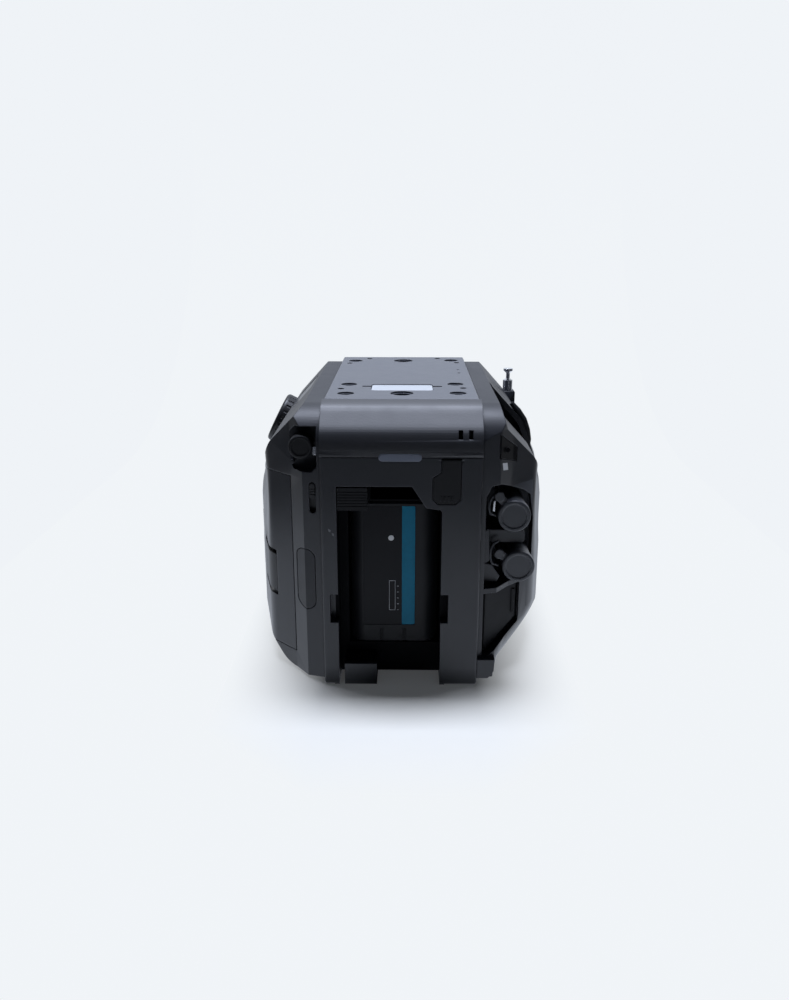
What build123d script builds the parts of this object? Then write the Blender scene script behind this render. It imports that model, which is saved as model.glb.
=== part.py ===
from build123d import *
import os

os.makedirs("parts", exist_ok=True)

# Frame: x to the right seen from behind, y towards the lens, z up, ground at z 0
body_length = 157.0
rear_y = -body_length / 2
flange_y = body_length / 2
flange_depth = 18.0
image_y = flange_y - flange_depth
optic_z = 70.0
spine_half = 35.3
front_face_y = flange_y - 6.5
housing_end = body_length - 6.0
bay_end = 55.0

# Walls and clearances
wall = 2.2
seam = 0.3
run = 0.05
cover_layer = 1.4
plate_half = 34.6
plate_top = 130.7
plate_low = plate_top - 6.0
strip_top = plate_top - 1.9

# Battery pack, a flat video pack standing on end
pack_w = 41.5
pack_h = 69.7
pack_d = 38.2
pack_x = -3.3
pack_z = 15.0
pack_y = 14.0

# Lens mount
throat_r = 23.0
ring_r = 31.0
lug_r = 21.5
groove_r = 23.8
groove_len = 1.8

# Filter wheel
wheel_r = 36.0
wheel_pitch = 21.0
filter_r = 13.2
wheel_x = -wheel_pitch * 0.7071
wheel_z = optic_z + wheel_pitch * 0.7071
wheel_y = front_face_y - 7.4
wheel_t = 2.0

# Buttons
stem_r = 1.5


def back(d):
    """y of a point d in front of the rear plane"""
    return rear_y + d


def lens_plane(y):
    """plane across the lens axis, its normal points to the rear"""
    return Plane(origin=(0, y, optic_z), x_dir=(1, 0, 0), z_dir=(0, -1, 0))


def prism(points, y0, y1):
    """straight block whose outline is seen from behind"""
    with BuildPart(mode=Mode.PRIVATE) as made:
        with BuildSketch(Plane.XZ.offset(-y0)):
            with BuildLine():
                Polyline(*points, close=True)
            make_face()
        extrude(amount=-(y1 - y0))
    return made.part


def block(x0, x1, y0, y1, z0, z1):
    """box between two corners"""
    with BuildPart(mode=Mode.PRIVATE) as made:
        with BuildSketch(Plane.XY.offset(z0)):
            with Locations(((x0 + x1) / 2, (y0 + y1) / 2)):
                Rectangle(x1 - x0, y1 - y0)
        extrude(amount=z1 - z0)
    return made.part


def rod(start, direction, radius, length):
    """round bar from a start point along a direction"""
    with BuildPart(mode=Mode.PRIVATE) as made:
        with BuildSketch(Plane(origin=start, z_dir=direction)):
            Circle(radius)
        extrude(amount=length)
    return made.part


def slab(points, z0, z1):
    """straight block whose outline is seen from above"""
    with BuildPart(mode=Mode.PRIVATE) as made:
        with BuildSketch(Plane.XY.offset(z0)):
            with BuildLine():
                Polyline(*points, close=True)
            make_face()
        extrude(amount=z1 - z0)
    return made.part


def pill(x, z, length, width, angle, y0, y1):
    """long rounded block seen from behind"""
    with BuildPart(mode=Mode.PRIVATE) as made:
        with BuildSketch(Plane.XZ.offset(-y0)):
            with Locations((x, z)):
                SlotOverall(length, width, rotation=angle)
        extrude(amount=-(y1 - y0))
    return made.part


# Side housings: one section seen from behind, one plan seen from above,
# and one rounded outline seen from the side
full_section = [
    (strip_top, 43.5), (110.0, 60.5), (92.0, 69.5), (78.0, 73.0),
    (58.0, 75.3), (38.0, 76.0), (21.0, 71.5), (1.5, 54.5),
]
right_section = [
    (strip_top, 43.5), (110.0, 60.5), (92.0, 68.2), (78.0, 71.4),
    (58.0, 73.6), (38.0, 74.2), (21.0, 70.2), (1.5, 54.5),
]
low_section = [
    (strip_top, 43.5), (119.5, 46.3), (113.5, 51.5), (103.5, 60.5), (92.0, 67.4),
    (78.0, 71.4), (58.0, 73.6), (38.0, 74.2), (21.0, 70.2), (1.5, 54.5),
]
left_plan = [
    (4.0, 36.0), (6.0, 43.5), (14.0, 49.6), (27.0, 63.0), (55.0, 70.0),
    (95.0, 76.5), (125.0, 74.0), (housing_end - 5.0, 68.0), (housing_end, 60.0),
]
right_plan = [
    (4.0, 36.0), (6.0, 43.5), (14.0, 49.6), (27.0, 63.0), (55.0, 69.2),
    (95.0, 74.4), (125.0, 72.6), (housing_end - 5.0, 67.0), (housing_end, 60.0),
]


def housing_form(side, section, inset):
    """volume of a side housing, inset by a wall thickness"""
    inner = spine_half if inset == 0 else spine_half - 8
    plan_points = left_plan if side < 0 else right_plan
    with BuildPart(mode=Mode.PRIVATE) as made:
        with BuildSketch(Plane.XZ.offset(-rear_y)) as front_view:
            with BuildLine():
                top = [(side * inner, strip_top)]
                sides = [(side * x, z) for z, x in section]
                low = [(side * inner, 1.5)]
                Polyline(*(top + sides + low), close=True)
            make_face()
            corners = front_view.vertices()
            fillet(corners.filter_by(lambda v: abs(v.X) > 52), 11)
            if inset:
                offset(amount=-inset, kind=Kind.INTERSECTION, mode=Mode.REPLACE)
        extrude(amount=-body_length)
        with BuildSketch(Plane.XY) as plan_view:
            with BuildLine():
                ends = [(side * inner, back(4.0))]
                curve = [(side * x, back(y)) for y, x in plan_points]
                last = [(side * inner, back(housing_end))]
                Polyline(*(ends + curve + last), close=True)
            make_face()
            corners = plan_view.vertices()
            fillet(corners.filter_by(lambda v: abs(v.X) > 62.0), 14)
            if inset:
                offset(amount=-inset, kind=Kind.INTERSECTION, mode=Mode.REPLACE)
        extrude(amount=140, mode=Mode.INTERSECT)
        with BuildSketch(Plane.YZ.offset(-90)) as side_view:
            with BuildLine():
                Polyline(
                    (back(3.0), 0), (back(3.0), strip_top), (back(housing_end), strip_top),
                    (back(housing_end), 0), close=True,
                )
            make_face()
            corners = side_view.vertices().filter_by(lambda v: v.Y > 100)
            fillet(corners.filter_by(lambda v: v.X < 0), 20)
            fillet(side_view.vertices().filter_by(lambda v: v.Y > 100 and v.X > 0), 7)
            if inset:
                offset(amount=-inset, kind=Kind.INTERSECTION, mode=Mode.REPLACE)
        extrude(amount=180, mode=Mode.INTERSECT)
    return made.part


# Side housing volumes used by the pieces below
left_outer = housing_form(-1, full_section, 0)
left_inner = housing_form(-1, full_section, wall)
left_skin = housing_form(-1, full_section, cover_layer)
left_skin_floor = housing_form(-1, full_section, cover_layer + 0.15)
left_deep = housing_form(-1, full_section, wall + 2.0)
left_door_inner = housing_form(-1, full_section, wall - 0.25)
right_full = housing_form(1, right_section, 0)
right_full_inner = housing_form(1, right_section, wall)
right_low = housing_form(1, low_section, 0)
right_low_inner = housing_form(1, low_section, wall)
right_skin = housing_form(1, low_section, cover_layer)
right_skin_floor = housing_form(1, low_section, cover_layer + 0.15)
right_deep = housing_form(1, low_section, wall + 2.0)

# Chassis: open metal frame that carries the lens mount, filter wheel and image plate
chassis_wall = 2.5
chassis_back = back(bay_end)
chassis_floor = 7.0
with BuildPart() as chassis:
    add(block(-spine_half, spine_half, chassis_back, front_face_y, chassis_floor, plate_low))
    inner_half = spine_half - chassis_wall
    add(
        block(
            -inner_half, inner_half, chassis_back + chassis_wall, front_face_y - chassis_wall,
            chassis_floor + chassis_wall, plate_low + 1,
        ),
        mode=Mode.SUBTRACT,
    )
    # lens opening
    add(rod((0, front_face_y + 1, optic_z), (0, -1, 0), throat_r + 1.5, 5), mode=Mode.SUBTRACT)
    # slot for the filter wheel in the left wall
    add(
        block(-spine_half - 1, -inner_half + 1, wheel_y - 0.4, wheel_y + wheel_t + 0.4, 53.5, 116.5),
        mode=Mode.SUBTRACT,
    )
    # cable window in the rear wall and openings in the side walls
    add(block(-14, 14, chassis_back - 1, chassis_back + 4, 92, 112), mode=Mode.SUBTRACT)
    add(block(20, spine_half + 1, 15, 45, 70, 104), mode=Mode.SUBTRACT)
    add(block(-spine_half - 1, -20, 15, 45, 30, 66), mode=Mode.SUBTRACT)
    # axle and thrust boss of the filter wheel
    add(rod((wheel_x, front_face_y - chassis_wall, wheel_z), (0, -1, 0), 2.0, 5.1))
    add(rod((wheel_x, front_face_y - chassis_wall, wheel_z), (0, -1, 0), 4.0, 2.6))
    # passage of the lens release pin and the ring screws
    add(rod((29.0, front_face_y + 1, 38.0), (0, -1, 0), stem_r + run, 5), mode=Mode.SUBTRACT)
    with Locations(lens_plane(front_face_y)):
        with PolarLocations(27.5, 6, start_angle=30):
            Cylinder(0.8, 12, mode=Mode.SUBTRACT)
    # screw holes for the base plate
    with Locations(Plane.XY.offset(chassis_floor)):
        with GridLocations(60.0, 74.0, 2, 2):
            with Locations((0, 24.0)):
                Cylinder(1.2, 12, mode=Mode.SUBTRACT)
chassis.part.label = "chassis"
export_step(chassis.part, "parts/chassis.step")

# Rear housing with the battery bay
bay_outline = [
    (-28.3, -1.0), (-28.3, 96.1), (4.8, 96.1), (11.0, 86.4), (15.6, 85.7),
    (17.2, 85.5), (18.0, 84.6), (18.0, -1.0),
]
pocket_half = pack_w / 2 + 0.3
pocket_left = pack_x - pocket_half
pocket_right = 18.0
pocket_low = pack_z - run
pocket_top = pack_z + pack_h + 0.4
shelf_y = pack_y + 0.2
housing_top = plate_top - 21.7
with BuildPart() as rear_housing:
    add(block(-spine_half, spine_half, rear_y, back(bay_end), 0, housing_top))
    fillet(rear_housing.edges().filter_by(Axis.Z).group_by(Axis.Y)[0], 1.2)
    bottom = rear_housing.faces().sort_by(Axis.Y)[0].edges().sort_by(Axis.Z)[0]
    fillet(bottom, 1.5)
    # hollow behind the rear wall
    hollow_half = spine_half - wall
    add(
        block(-hollow_half, hollow_half, back(3.0), back(bay_end) + 1, wall, housing_top - wall),
        mode=Mode.SUBTRACT,
    )
    # walls around the bay
    add(block(-30.6, 20.3, back(0.5), back(shelf_y + 2.2), 0, 98.4))
    add(
        block(
            pocket_left - wall, pocket_right + wall, back(10), back(bay_end),
            3.8, pocket_top + wall,
        )
    )
    add(block(-16.4, 15.5, back(10), back(40), 84, 98.4))
    add(block(-33.8, 23.4, back(0.5), back(9), 29.0, 48.0))
    # bay opening, then the pocket for the pack
    add(prism(bay_outline, rear_y - 1, back(shelf_y)), mode=Mode.SUBTRACT)
    add(
        block(
            pocket_left, pocket_right, back(shelf_y - 1), back(pack_y + pack_d + 0.5),
            pocket_low, pocket_top,
        ),
        mode=Mode.SUBTRACT,
    )
    # deep finger space above the pack
    add(
        prism([(-14.0, 86.0), (-14.0, 96.1), (4.8, 96.1), (10.6, 86.0)], back(12), back(38)),
        mode=Mode.SUBTRACT,
    )
    # lock notches in both walls of the opening
    add(block(-32.0, 21.4, rear_y - 1, back(6.5), 31.5, 45.4), mode=Mode.SUBTRACT)
    # foot block inside the opening
    add(block(-25.9, -11.0, back(0.6), back(shelf_y + 1), 0, 10.4))
    # guide bore of the release button
    add(block(-28.3, -14.0, back(shelf_y), back(20), 86.6, 98.0))
    add(rod((-21.3, back(10), 92.5), (0, 1, 0), stem_r + run, 12), mode=Mode.SUBTRACT)
    # terminal seat in the end wall
    add(block(-9.0, 3.0, back(50), back(bay_end) + 1, 24, 38), mode=Mode.SUBTRACT)
    # recess and socket opening of the power inlet
    with BuildSketch(Plane.XZ.offset(-rear_y)) as inlet_recess:
        with BuildLine():
            Polyline(
                (17.3, 108.9), (17.3, 102.6), (13.6, 100.2), (13.6, 90.4), (16.2, 88.0),
                (23.8, 88.0), (26.2, 90.4), (26.2, 108.9), close=True,
            )
        make_face()
    extrude(amount=-1.7, mode=Mode.SUBTRACT)
    add(block(12.0, 28.0, back(2.9), back(5.0), 86.5, 106.0))
    add(block(15.6, 24.4, back(0.5), back(17.0), 91.5, 101.0), mode=Mode.SUBTRACT)
    add(rod((16.2, back(0.9), 107.7), (1, 0, 0), 0.8, 11.1), mode=Mode.SUBTRACT)
    # seat of the tally lamp
    add(pill(-0.4, housing_top + 0.1, 18.7, 3.4, 0, rear_y - 1, back(3.0)), mode=Mode.SUBTRACT)
rear_housing.part.label = "rear_housing"
export_step(rear_housing.part, "parts/rear_housing.step")

# Curved cover between the rear wall and the top plate
curve_r = 20.2
curve_low = plate_top - 0.1 - curve_r
curve_top = plate_top - 0.1
cover_t = 2.4
with BuildPart() as rear_top_cover:
    with BuildSketch(Plane.YZ.offset(-spine_half)) as cover_outline:
        with BuildLine():
            Line((rear_y, housing_top + seam), (rear_y, curve_low))
            RadiusArc((rear_y, curve_low), (back(curve_r), curve_top), curve_r)
            Line((back(curve_r), curve_top), (back(curve_r), curve_top - cover_t))
            RadiusArc(
                (back(curve_r), curve_top - cover_t), (back(cover_t), curve_low), -(curve_r - cover_t)
            )
            Line((back(cover_t), curve_low), (back(cover_t), housing_top + seam))
            Line((back(cover_t), housing_top + seam), (rear_y, housing_top + seam))
        make_face()
    extrude(amount=2 * spine_half)
    # support ribs and floor
    for x in (-spine_half + 1.2, -12.0, 12.0, spine_half - 1.2):
        with BuildSketch(Plane.YZ.offset(x - 1.2)):
            with BuildLine():
                Polyline(
                    (back(1.5), housing_top), (back(1.5), curve_low + 1.6),
                    (back(8), curve_low + 11.6), (back(curve_r), curve_top - 2.0),
                    (back(curve_r), plate_low), (back(26.0), plate_low), (back(26.0), housing_top),
                    close=True,
                )
            make_face()
        extrude(amount=2.4)
    # two sound slots near the right end
    with Locations((25.5, back(3), curve_low + 8.2), (29.9, back(3), curve_low + 8.2)):
        Box(1.9, 8, 3.9, mode=Mode.SUBTRACT)
    add(pill(-0.4, housing_top + 0.1, 18.7, 3.4, 0, rear_y - 1, back(3.0)), mode=Mode.SUBTRACT)
rear_top_cover.part.label = "rear_top_cover"
export_step(rear_top_cover.part, "parts/rear_top_cover.step")

# Tally lamp at the seam of the rear wall
with BuildPart() as tally_lamp:
    add(pill(-0.4, housing_top + 0.1, 18.7, 3.4, 0, rear_y - 0.25, back(3.0)))
    fillet(tally_lamp.edges().group_by(Axis.Y)[0], 0.4)
tally_lamp.part.label = "tally_lamp"
export_step(tally_lamp.part, "parts/tally_lamp.step")

# Top plate with its tapped holes and label recess
top_back = back(20.6)
top_front = back(housing_end - 2.0)
near_y = back(33.9)
far_y = top_front - 14.5
with BuildPart() as top_plate:
    add(block(-plate_half, plate_half, top_back, top_front, plate_low, plate_top))
    chamfer(top_plate.faces().sort_by(Axis.Z)[-1].edges(), 0.5)
    with Locations(Plane.XY.offset(plate_top)):
        # large threaded holes on the centre line
        with Locations((0, near_y), (0, far_y)):
            CounterBoreHole(3.97, 5.3, 0.8)
        # medium threaded holes in pairs
        pair_x = 25.7
        with Locations(
            (-pair_x, back(33.5)), (pair_x, back(34.6)), (-pair_x, back(57.5)), (pair_x, back(58.6)),
            (-27.0, far_y - 0.5), (27.0, far_y + 1.5),
        ):
            CounterBoreHole(2.6, 3.9, 0.8)
        # small pin holes
        with Locations(
            (-28.8, back(45.5)), (28.8, back(47.8)), (-29.8, far_y - 9.5), (29.8, far_y - 7.0),
            (-19.4, far_y + 8.0), (19.6, far_y + 9.0),
        ):
            Hole(1.6, 3.5)
        with Locations((29.2, back(102.6)), (29.2, back(92.0))):
            Hole(0.8, 1.5)
    # recess of the label with two side wings
    with BuildSketch(Plane.XY.offset(plate_top)):
        with Locations((0, back(49.5))):
            RectangleRounded(29.4, 16.6, 2.4)
        with Locations((0, back(52.0))):
            Rectangle(38.0, 2.4)
    extrude(amount=-1.2, mode=Mode.SUBTRACT)
top_plate.part.label = "top_plate"
export_step(top_plate.part, "parts/top_plate.step")

# Identity label in the top plate, left blank
with BuildPart() as top_label:
    with BuildSketch(Plane.XY.offset(plate_top - 1.2)):
        with Locations((0, back(49.5))):
            RectangleRounded(28.8, 16.0, 2.1)
    extrude(amount=0.9)
top_label.part.label = "top_label"
export_step(top_label.part, "parts/top_label.step")

# Left housing: moulded shell with door opening, switch, jack and display seats
door_x = -49.6
door_low = 10.0
door_high = 97.0
door_front = back(82.0)
hinge_r = 1.2
hinge_x = -73.0
hinge_low = 32.0
hinge_high = 60.0
hinge_len = hinge_high - hinge_low
face_x = -71.5
display_plane = Plane(
    origin=(-52.0, back(101.0), 119.4), x_dir=(0, 1, 0), z_dir=(-0.742, 0, 0.671)
)
dial_plane = Plane(
    origin=(-65.6, back(119.0), 99.6), x_dir=(0, 1, 0), z_dir=(-0.894, 0, 0.447)
)
control_plane = Plane((face_x, 0, 0), x_dir=(0, -1, 0), z_dir=(-1, 0, 0))
dial_y = back(113.0)
assign_ys = (back(105.5), back(120.5))
assign_z = 47.0
menu_z = 60.0
toggle_z = 35.0
jack_x = -44.0
jack_z = 112.0
switch_x = -39.1
usb_x = -43.2
usb_z = 50.4
with BuildPart() as left_housing:
    add(left_outer)
    add(left_inner, mode=Mode.SUBTRACT)
    # rebate the door closes against
    with BuildPart(mode=Mode.PRIVATE) as rebate:
        add(left_inner)
        add(left_deep, mode=Mode.SUBTRACT)
        add(
            block(-90, door_x + 4, rear_y, door_front + 5, door_low - 4, door_high + 4),
            mode=Mode.INTERSECT,
        )
        add(
            block(-90, door_x - 3, rear_y - 1, door_front - 3, door_low + 3, door_high - 3),
            mode=Mode.SUBTRACT,
        )
    with BuildPart(mode=Mode.PRIVATE) as opening:
        add(left_outer)
        add(left_inner, mode=Mode.SUBTRACT)
        add(
            block(-90, door_x, rear_y - 1, door_front + 1.35, door_low, door_high),
            mode=Mode.INTERSECT,
        )
    add(opening.part, mode=Mode.SUBTRACT)
    add(rebate.part)
    # hinge lugs of the door
    add(rod((hinge_x, door_front, hinge_low - 4.0), (0, 0, 1), hinge_r, 3.7))
    add(rod((hinge_x, door_front, hinge_high + 0.3), (0, 0, 1), hinge_r, 3.7))
    lug_end = door_front + 3
    for z in (hinge_low - 4.0, hinge_high + 0.3):
        add(block(hinge_x - 1.0, hinge_x + 2.6, door_front, lug_end, z, z + 3.7))
    add(
        rod((hinge_x, door_front, hinge_low - 0.3), (0, 0, 1), hinge_r + 0.3, hinge_len + 0.6),
        mode=Mode.SUBTRACT,
    )
    add(rod((hinge_x, door_front, hinge_low - 0.5), (0, 0, 1), 0.6, 4.0))
    add(rod((hinge_x, door_front, hinge_high - 3.5), (0, 0, 1), 0.6, 4.0))
    # recess of the headphone jack
    jack_outline = [
        (-50.2, 117.0), (-46.5, 121.0), (-36.9, 121.0), (-36.9, 103.5), (-39.5, 101.0), (-47.5, 101.0),
        (-50.2, 104.5),
    ]
    jack_walls = [
        (-52.4, 118.0), (-47.4, 123.2), (spine_half * -1, 123.2), (spine_half * -1, 98.8),
        (-48.4, 98.8), (-52.4, 103.6),
    ]
    with BuildPart(mode=Mode.PRIVATE) as jack_box:
        add(prism(jack_walls, rear_y, back(16.2)))
        add(left_outer, mode=Mode.INTERSECT)
    add(jack_box.part)
    add(prism(jack_outline, rear_y - 1, back(14.0)), mode=Mode.SUBTRACT)
    add(rod((jack_x, back(13), jack_z), (0, 1, 0), 3.0, 5), mode=Mode.SUBTRACT)
    add(rod((-48.2, back(14.5), 104.4), (0, -1, 0), 0.9, 4.5))
    # channel and slot of the slide switch
    with BuildPart(mode=Mode.PRIVATE) as switch_box:
        add(block(-44.0, -spine_half, back(4), back(11.0), 78.0, 98.5))
        add(left_outer, mode=Mode.INTERSECT)
    add(switch_box.part)
    add(block(-42.05, -36.55, back(7.45), back(8.55), 80.0, 96.6), mode=Mode.SUBTRACT)
    add(pill(switch_x, 89.4, 14.2, 2.9, 90, rear_y, back(8.0)), mode=Mode.SUBTRACT)
    # seat of the data port cover
    with BuildPart(mode=Mode.PRIVATE) as usb_box:
        add(block(-50.0, -spine_half, back(4), back(14.0), 33.0, 68.0))
        add(left_outer, mode=Mode.INTERSECT)
    add(usb_box.part)
    with BuildPart(mode=Mode.PRIVATE) as usb_recess:
        add(pill(usb_x, usb_z, 29.6, 9.3, 90, rear_y - 1, back(30)))
        add(left_skin_floor, mode=Mode.SUBTRACT)
    add(usb_recess.part, mode=Mode.SUBTRACT)
    add(block(-44.9, -41.5, back(4), back(16.0), 45.9, 54.9), mode=Mode.SUBTRACT)
    # pad and pocket of the status display
    with BuildPart(mode=Mode.PRIVATE) as display_pad:
        with BuildSketch(display_plane):
            Rectangle(46, 20)
        extrude(amount=-4.2)
        add(left_outer, mode=Mode.INTERSECT)
    add(display_pad.part)
    with BuildSketch(display_plane.offset(2)):
        RectangleRounded(40.4, 15.4, 1.5)
    extrude(amount=-3.8, mode=Mode.SUBTRACT)
    # boss and bore of the filter dial
    with BuildPart(mode=Mode.PRIVATE) as dial_boss:
        with BuildSketch(dial_plane):
            Circle(8)
        extrude(amount=-8)
        add(left_outer, mode=Mode.INTERSECT)
    add(dial_boss.part)
    with BuildSketch(dial_plane.offset(4)):
        Circle(2.5 + run)
    extrude(amount=-16, mode=Mode.SUBTRACT)
    with BuildSketch(dial_plane.offset(6)):
        Circle(14.4)
    extrude(amount=-7.2, mode=Mode.SUBTRACT)
    # flat control field on the side
    with BuildPart(mode=Mode.PRIVATE) as control_pad:
        add(block(-80, face_x + 5, back(94), back(132), 26, 72))
        add(left_outer, mode=Mode.INTERSECT)
    add(control_pad.part)
    add(block(-90, face_x, back(96), back(130), 28, 70), mode=Mode.SUBTRACT)
    with Locations(control_plane):
        for y in assign_ys:
            with Locations((-y, assign_z)):
                CounterBoreHole(1.2 + run, 3.1, 2.2, depth=12)
        with Locations((-dial_y, menu_z)):
            CounterBoreHole(1.5 + run, 7.4, 1.0, depth=12)
        with Locations((-dial_y, toggle_z)):
            Box(5.6, 6.4, 9.0, mode=Mode.SUBTRACT)
    add(rod((face_x + 2.0, dial_y - 4.2, toggle_z), (0, 1, 0), 0.85, 8.4), mode=Mode.SUBTRACT)
    # record button seat in the front end
    with BuildPart(mode=Mode.PRIVATE) as record_pad:
        add(block(-56, -38, back(housing_end - 5.5), back(housing_end), 31, 49))
        add(left_outer, mode=Mode.INTERSECT)
    add(record_pad.part)
    add(rod((-47, back(housing_end + 1), 40), (0, -1, 0), 5.8, 3.4), mode=Mode.SUBTRACT)
    add(rod((-47, back(housing_end + 1), 40), (0, -1, 0), stem_r + run, 12), mode=Mode.SUBTRACT)
left_housing.part.label = "left_housing"
export_step(left_housing.part, "parts/left_housing.step")

# Media door, a piece of the left shell that turns about its front edge
latch_back = 23.0
latch_front = 46.0
latch_low = 35.0
latch_high = 58.0
latch_notch = 2.2
with BuildPart() as media_door:
    add(left_outer)
    add(left_door_inner, mode=Mode.SUBTRACT)
    add(
        block(-90, door_x - seam, rear_y, door_front, door_low + seam, door_high - seam),
        mode=Mode.INTERSECT,
    )
    add(
        rod((hinge_x, door_front, hinge_low - 4.3), (0, 0, 1), hinge_r + 0.35, hinge_len + 8.6),
        mode=Mode.SUBTRACT,
    )
    add(rod((hinge_x, door_front, hinge_low), (0, 0, 1), hinge_r, hinge_len))
    add(block(hinge_x - 1.0, hinge_x + 0.6, door_front - 3, door_front, hinge_low, hinge_high))
    add(
        rod((hinge_x, door_front, hinge_low - 1), (0, 0, 1), 0.6 + run, hinge_len + 2),
        mode=Mode.SUBTRACT,
    )
    # latch seat and finger notch
    with BuildPart(mode=Mode.PRIVATE) as latch_recess:
        add(block(-90, -50, back(latch_back), back(latch_front), latch_low, latch_high))
        add(left_skin, mode=Mode.SUBTRACT)
    add(latch_recess.part, mode=Mode.SUBTRACT)
    add(block(-90, -60, back(29.3), back(31.7), 43.9, 50.1), mode=Mode.SUBTRACT)
media_door.part.label = "media_door"
export_step(media_door.part, "parts/media_door.step")

# Door latch, slides down a little to free the door
with BuildPart() as media_door_latch:
    add(
        block(
            -90, -50, back(latch_back + seam), back(latch_front - seam),
            latch_low + 2.0 + seam, latch_high - latch_notch,
        )
    )
    add(left_outer, mode=Mode.INTERSECT)
    with BuildPart(mode=Mode.PRIVATE) as latch_under:
        add(housing_form(-1, full_section, cover_layer - run))
    add(latch_under.part, mode=Mode.SUBTRACT)
    add(block(-63.4, -60.9, back(29.4), back(31.6), 46.0, 50.0))
media_door_latch.part.label = "media_door_latch"
export_step(media_door_latch.part, "parts/media_door_latch.step")

# Battery pack on end, with a shallow field for the label
label_left = -17.6
label_right = 6.6
label_low = 24.0
label_high = 83.0
with BuildPart() as battery_pack:
    pack_half = pack_w / 2
    add(
        block(
            pack_x - pack_half, pack_x + pack_half, back(pack_y), back(pack_y + pack_d),
            pack_z, pack_z + pack_h,
        )
    )
    uprights = battery_pack.edges().filter_by(Axis.Z).group_by(Axis.Y)
    fillet(uprights[0], 8.0)
    fillet(battery_pack.edges().filter_by(Axis.Z).group_by(Axis.Y)[-1], 2.0)
    chamfer(battery_pack.faces().sort_by(Axis.Z)[-1].edges(), 0.8)
    chamfer(battery_pack.faces().sort_by(Axis.Z)[0].edges(), 0.8)
    add(
        block(label_left, label_right, back(pack_y) - 1, back(pack_y + 0.35), label_low, label_high),
        mode=Mode.SUBTRACT,
    )
    # tab below the label with a groove on each side
    for x in (-9.2, 1.6):
        add(block(x - 0.7, x + 0.7, back(pack_y) - 1, back(pack_y + 1.2), 14, 22.5), mode=Mode.SUBTRACT)
    # terminal recess in the front end
    add(
        block(-9.3, 3.3, back(48.7), back(pack_y + pack_d) + 1, 23.7, 38.3), mode=Mode.SUBTRACT
    )
    # guide grooves in both flanks
    for x in (pack_x - pack_half, pack_x + pack_half):
        add(block(x - 1.2, x + 1.2, back(30), back(45), 40, 44), mode=Mode.SUBTRACT)
battery_pack.part.label = "battery_pack"
export_step(battery_pack.part, "parts/battery_pack.step")

# Printed label sheet on the pack
with BuildPart() as battery_label:
    add(
        block(
            label_left + 0.2, label_right - 0.2, back(pack_y + 0.05), back(pack_y + 0.35),
            label_low + 0.2, label_high - 0.2,
        )
    )
    fillet(battery_label.edges().filter_by(Axis.Y), 0.8)
battery_label.part.label = "battery_label"
export_step(battery_label.part, "parts/battery_label.step")

# Terminal block between camera and pack
with BuildPart() as battery_terminal:
    add(block(-9.0, 3.0, back(49.3), back(bay_end), 24, 38))
    for z in (26.2, 28.6, 31.0, 33.4, 35.8):
        add(block(-7.5, 1.5, back(49.0), back(52.0), z - 0.45, z + 0.45), mode=Mode.SUBTRACT)
battery_terminal.part.label = "battery_terminal"
export_step(battery_terminal.part, "parts/battery_terminal.step")

# Sprung release button above the pack, ribbed face
with BuildPart() as battery_release_button:
    add(block(-28.0, -14.6, back(0.2), back(9.0), 85.1, 95.4))
    fillet(battery_release_button.edges().filter_by(Axis.Y), 0.6)
    for k in range(6):
        z = 87.2 + 1.3 * k
        add(block(-29, -14, rear_y - 1, back(0.45), z - 0.25, z + 0.25), mode=Mode.SUBTRACT)
    add(rod((-21.3, back(8.5), 92.5), (0, 1, 0), stem_r, 10.5))
battery_release_button.part.label = "battery_release_button"
export_step(battery_release_button.part, "parts/battery_release_button.step")

# Rubber cover of the power inlet, hinged at its narrow neck
with BuildPart() as dc_in_cover:
    with BuildSketch(Plane.XZ.offset(-back(0.1))):
        with BuildLine():
            Polyline(
                (17.6, 107.7), (17.6, 102.5), (13.9, 100.0), (13.9, 90.5), (16.3, 88.3),
                (23.7, 88.3), (25.9, 90.5), (25.9, 107.7), close=True,
            )
        make_face()
    extrude(amount=-1.5)
    add(rod((16.3, back(0.9), 107.7), (1, 0, 0), 0.75, 10.9))
    # finger ribs near the free end
    for x in (17.4, 19.0, 20.6, 22.2):
        add(block(x - 0.3, x + 0.3, back(0.0) - 0.2, back(0.2), 89.6, 91.8))
dc_in_cover.part.label = "dc_in_cover"
export_step(dc_in_cover.part, "parts/dc_in_cover.step")

# Power inlet socket with four pins
with BuildPart() as dc_in_socket:
    add(block(15.6, 24.4, back(2.1), back(16.0), 91.5, 101.0))
    add(rod((20.0, back(1.5), 96.25), (0, 1, 0), 3.9, 9.5), mode=Mode.SUBTRACT)
    for dx, dz in ((-1.4, -1.4), (1.4, -1.4), (-1.4, 1.4), (1.4, 1.4)):
        add(rod((20.0 + dx, back(3.0), 96.25 + dz), (0, 1, 0), 0.5, 9.0))
dc_in_socket.part.label = "dc_in_socket"
export_step(dc_in_socket.part, "parts/dc_in_socket.step")

# Headphone jack and its pull-off cap
with BuildPart() as headphone_jack:
    add(rod((jack_x, back(13.5), jack_z), (0, 1, 0), 3.0, 13.0))
    add(rod((jack_x, back(13.2), jack_z), (0, 1, 0), 4.2, 0.8))
    add(rod((jack_x, back(12), jack_z), (0, 1, 0), 1.7 + run, 13.5), mode=Mode.SUBTRACT)
headphone_jack.part.label = "headphone_jack"
export_step(headphone_jack.part, "parts/headphone_jack.step")

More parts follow.
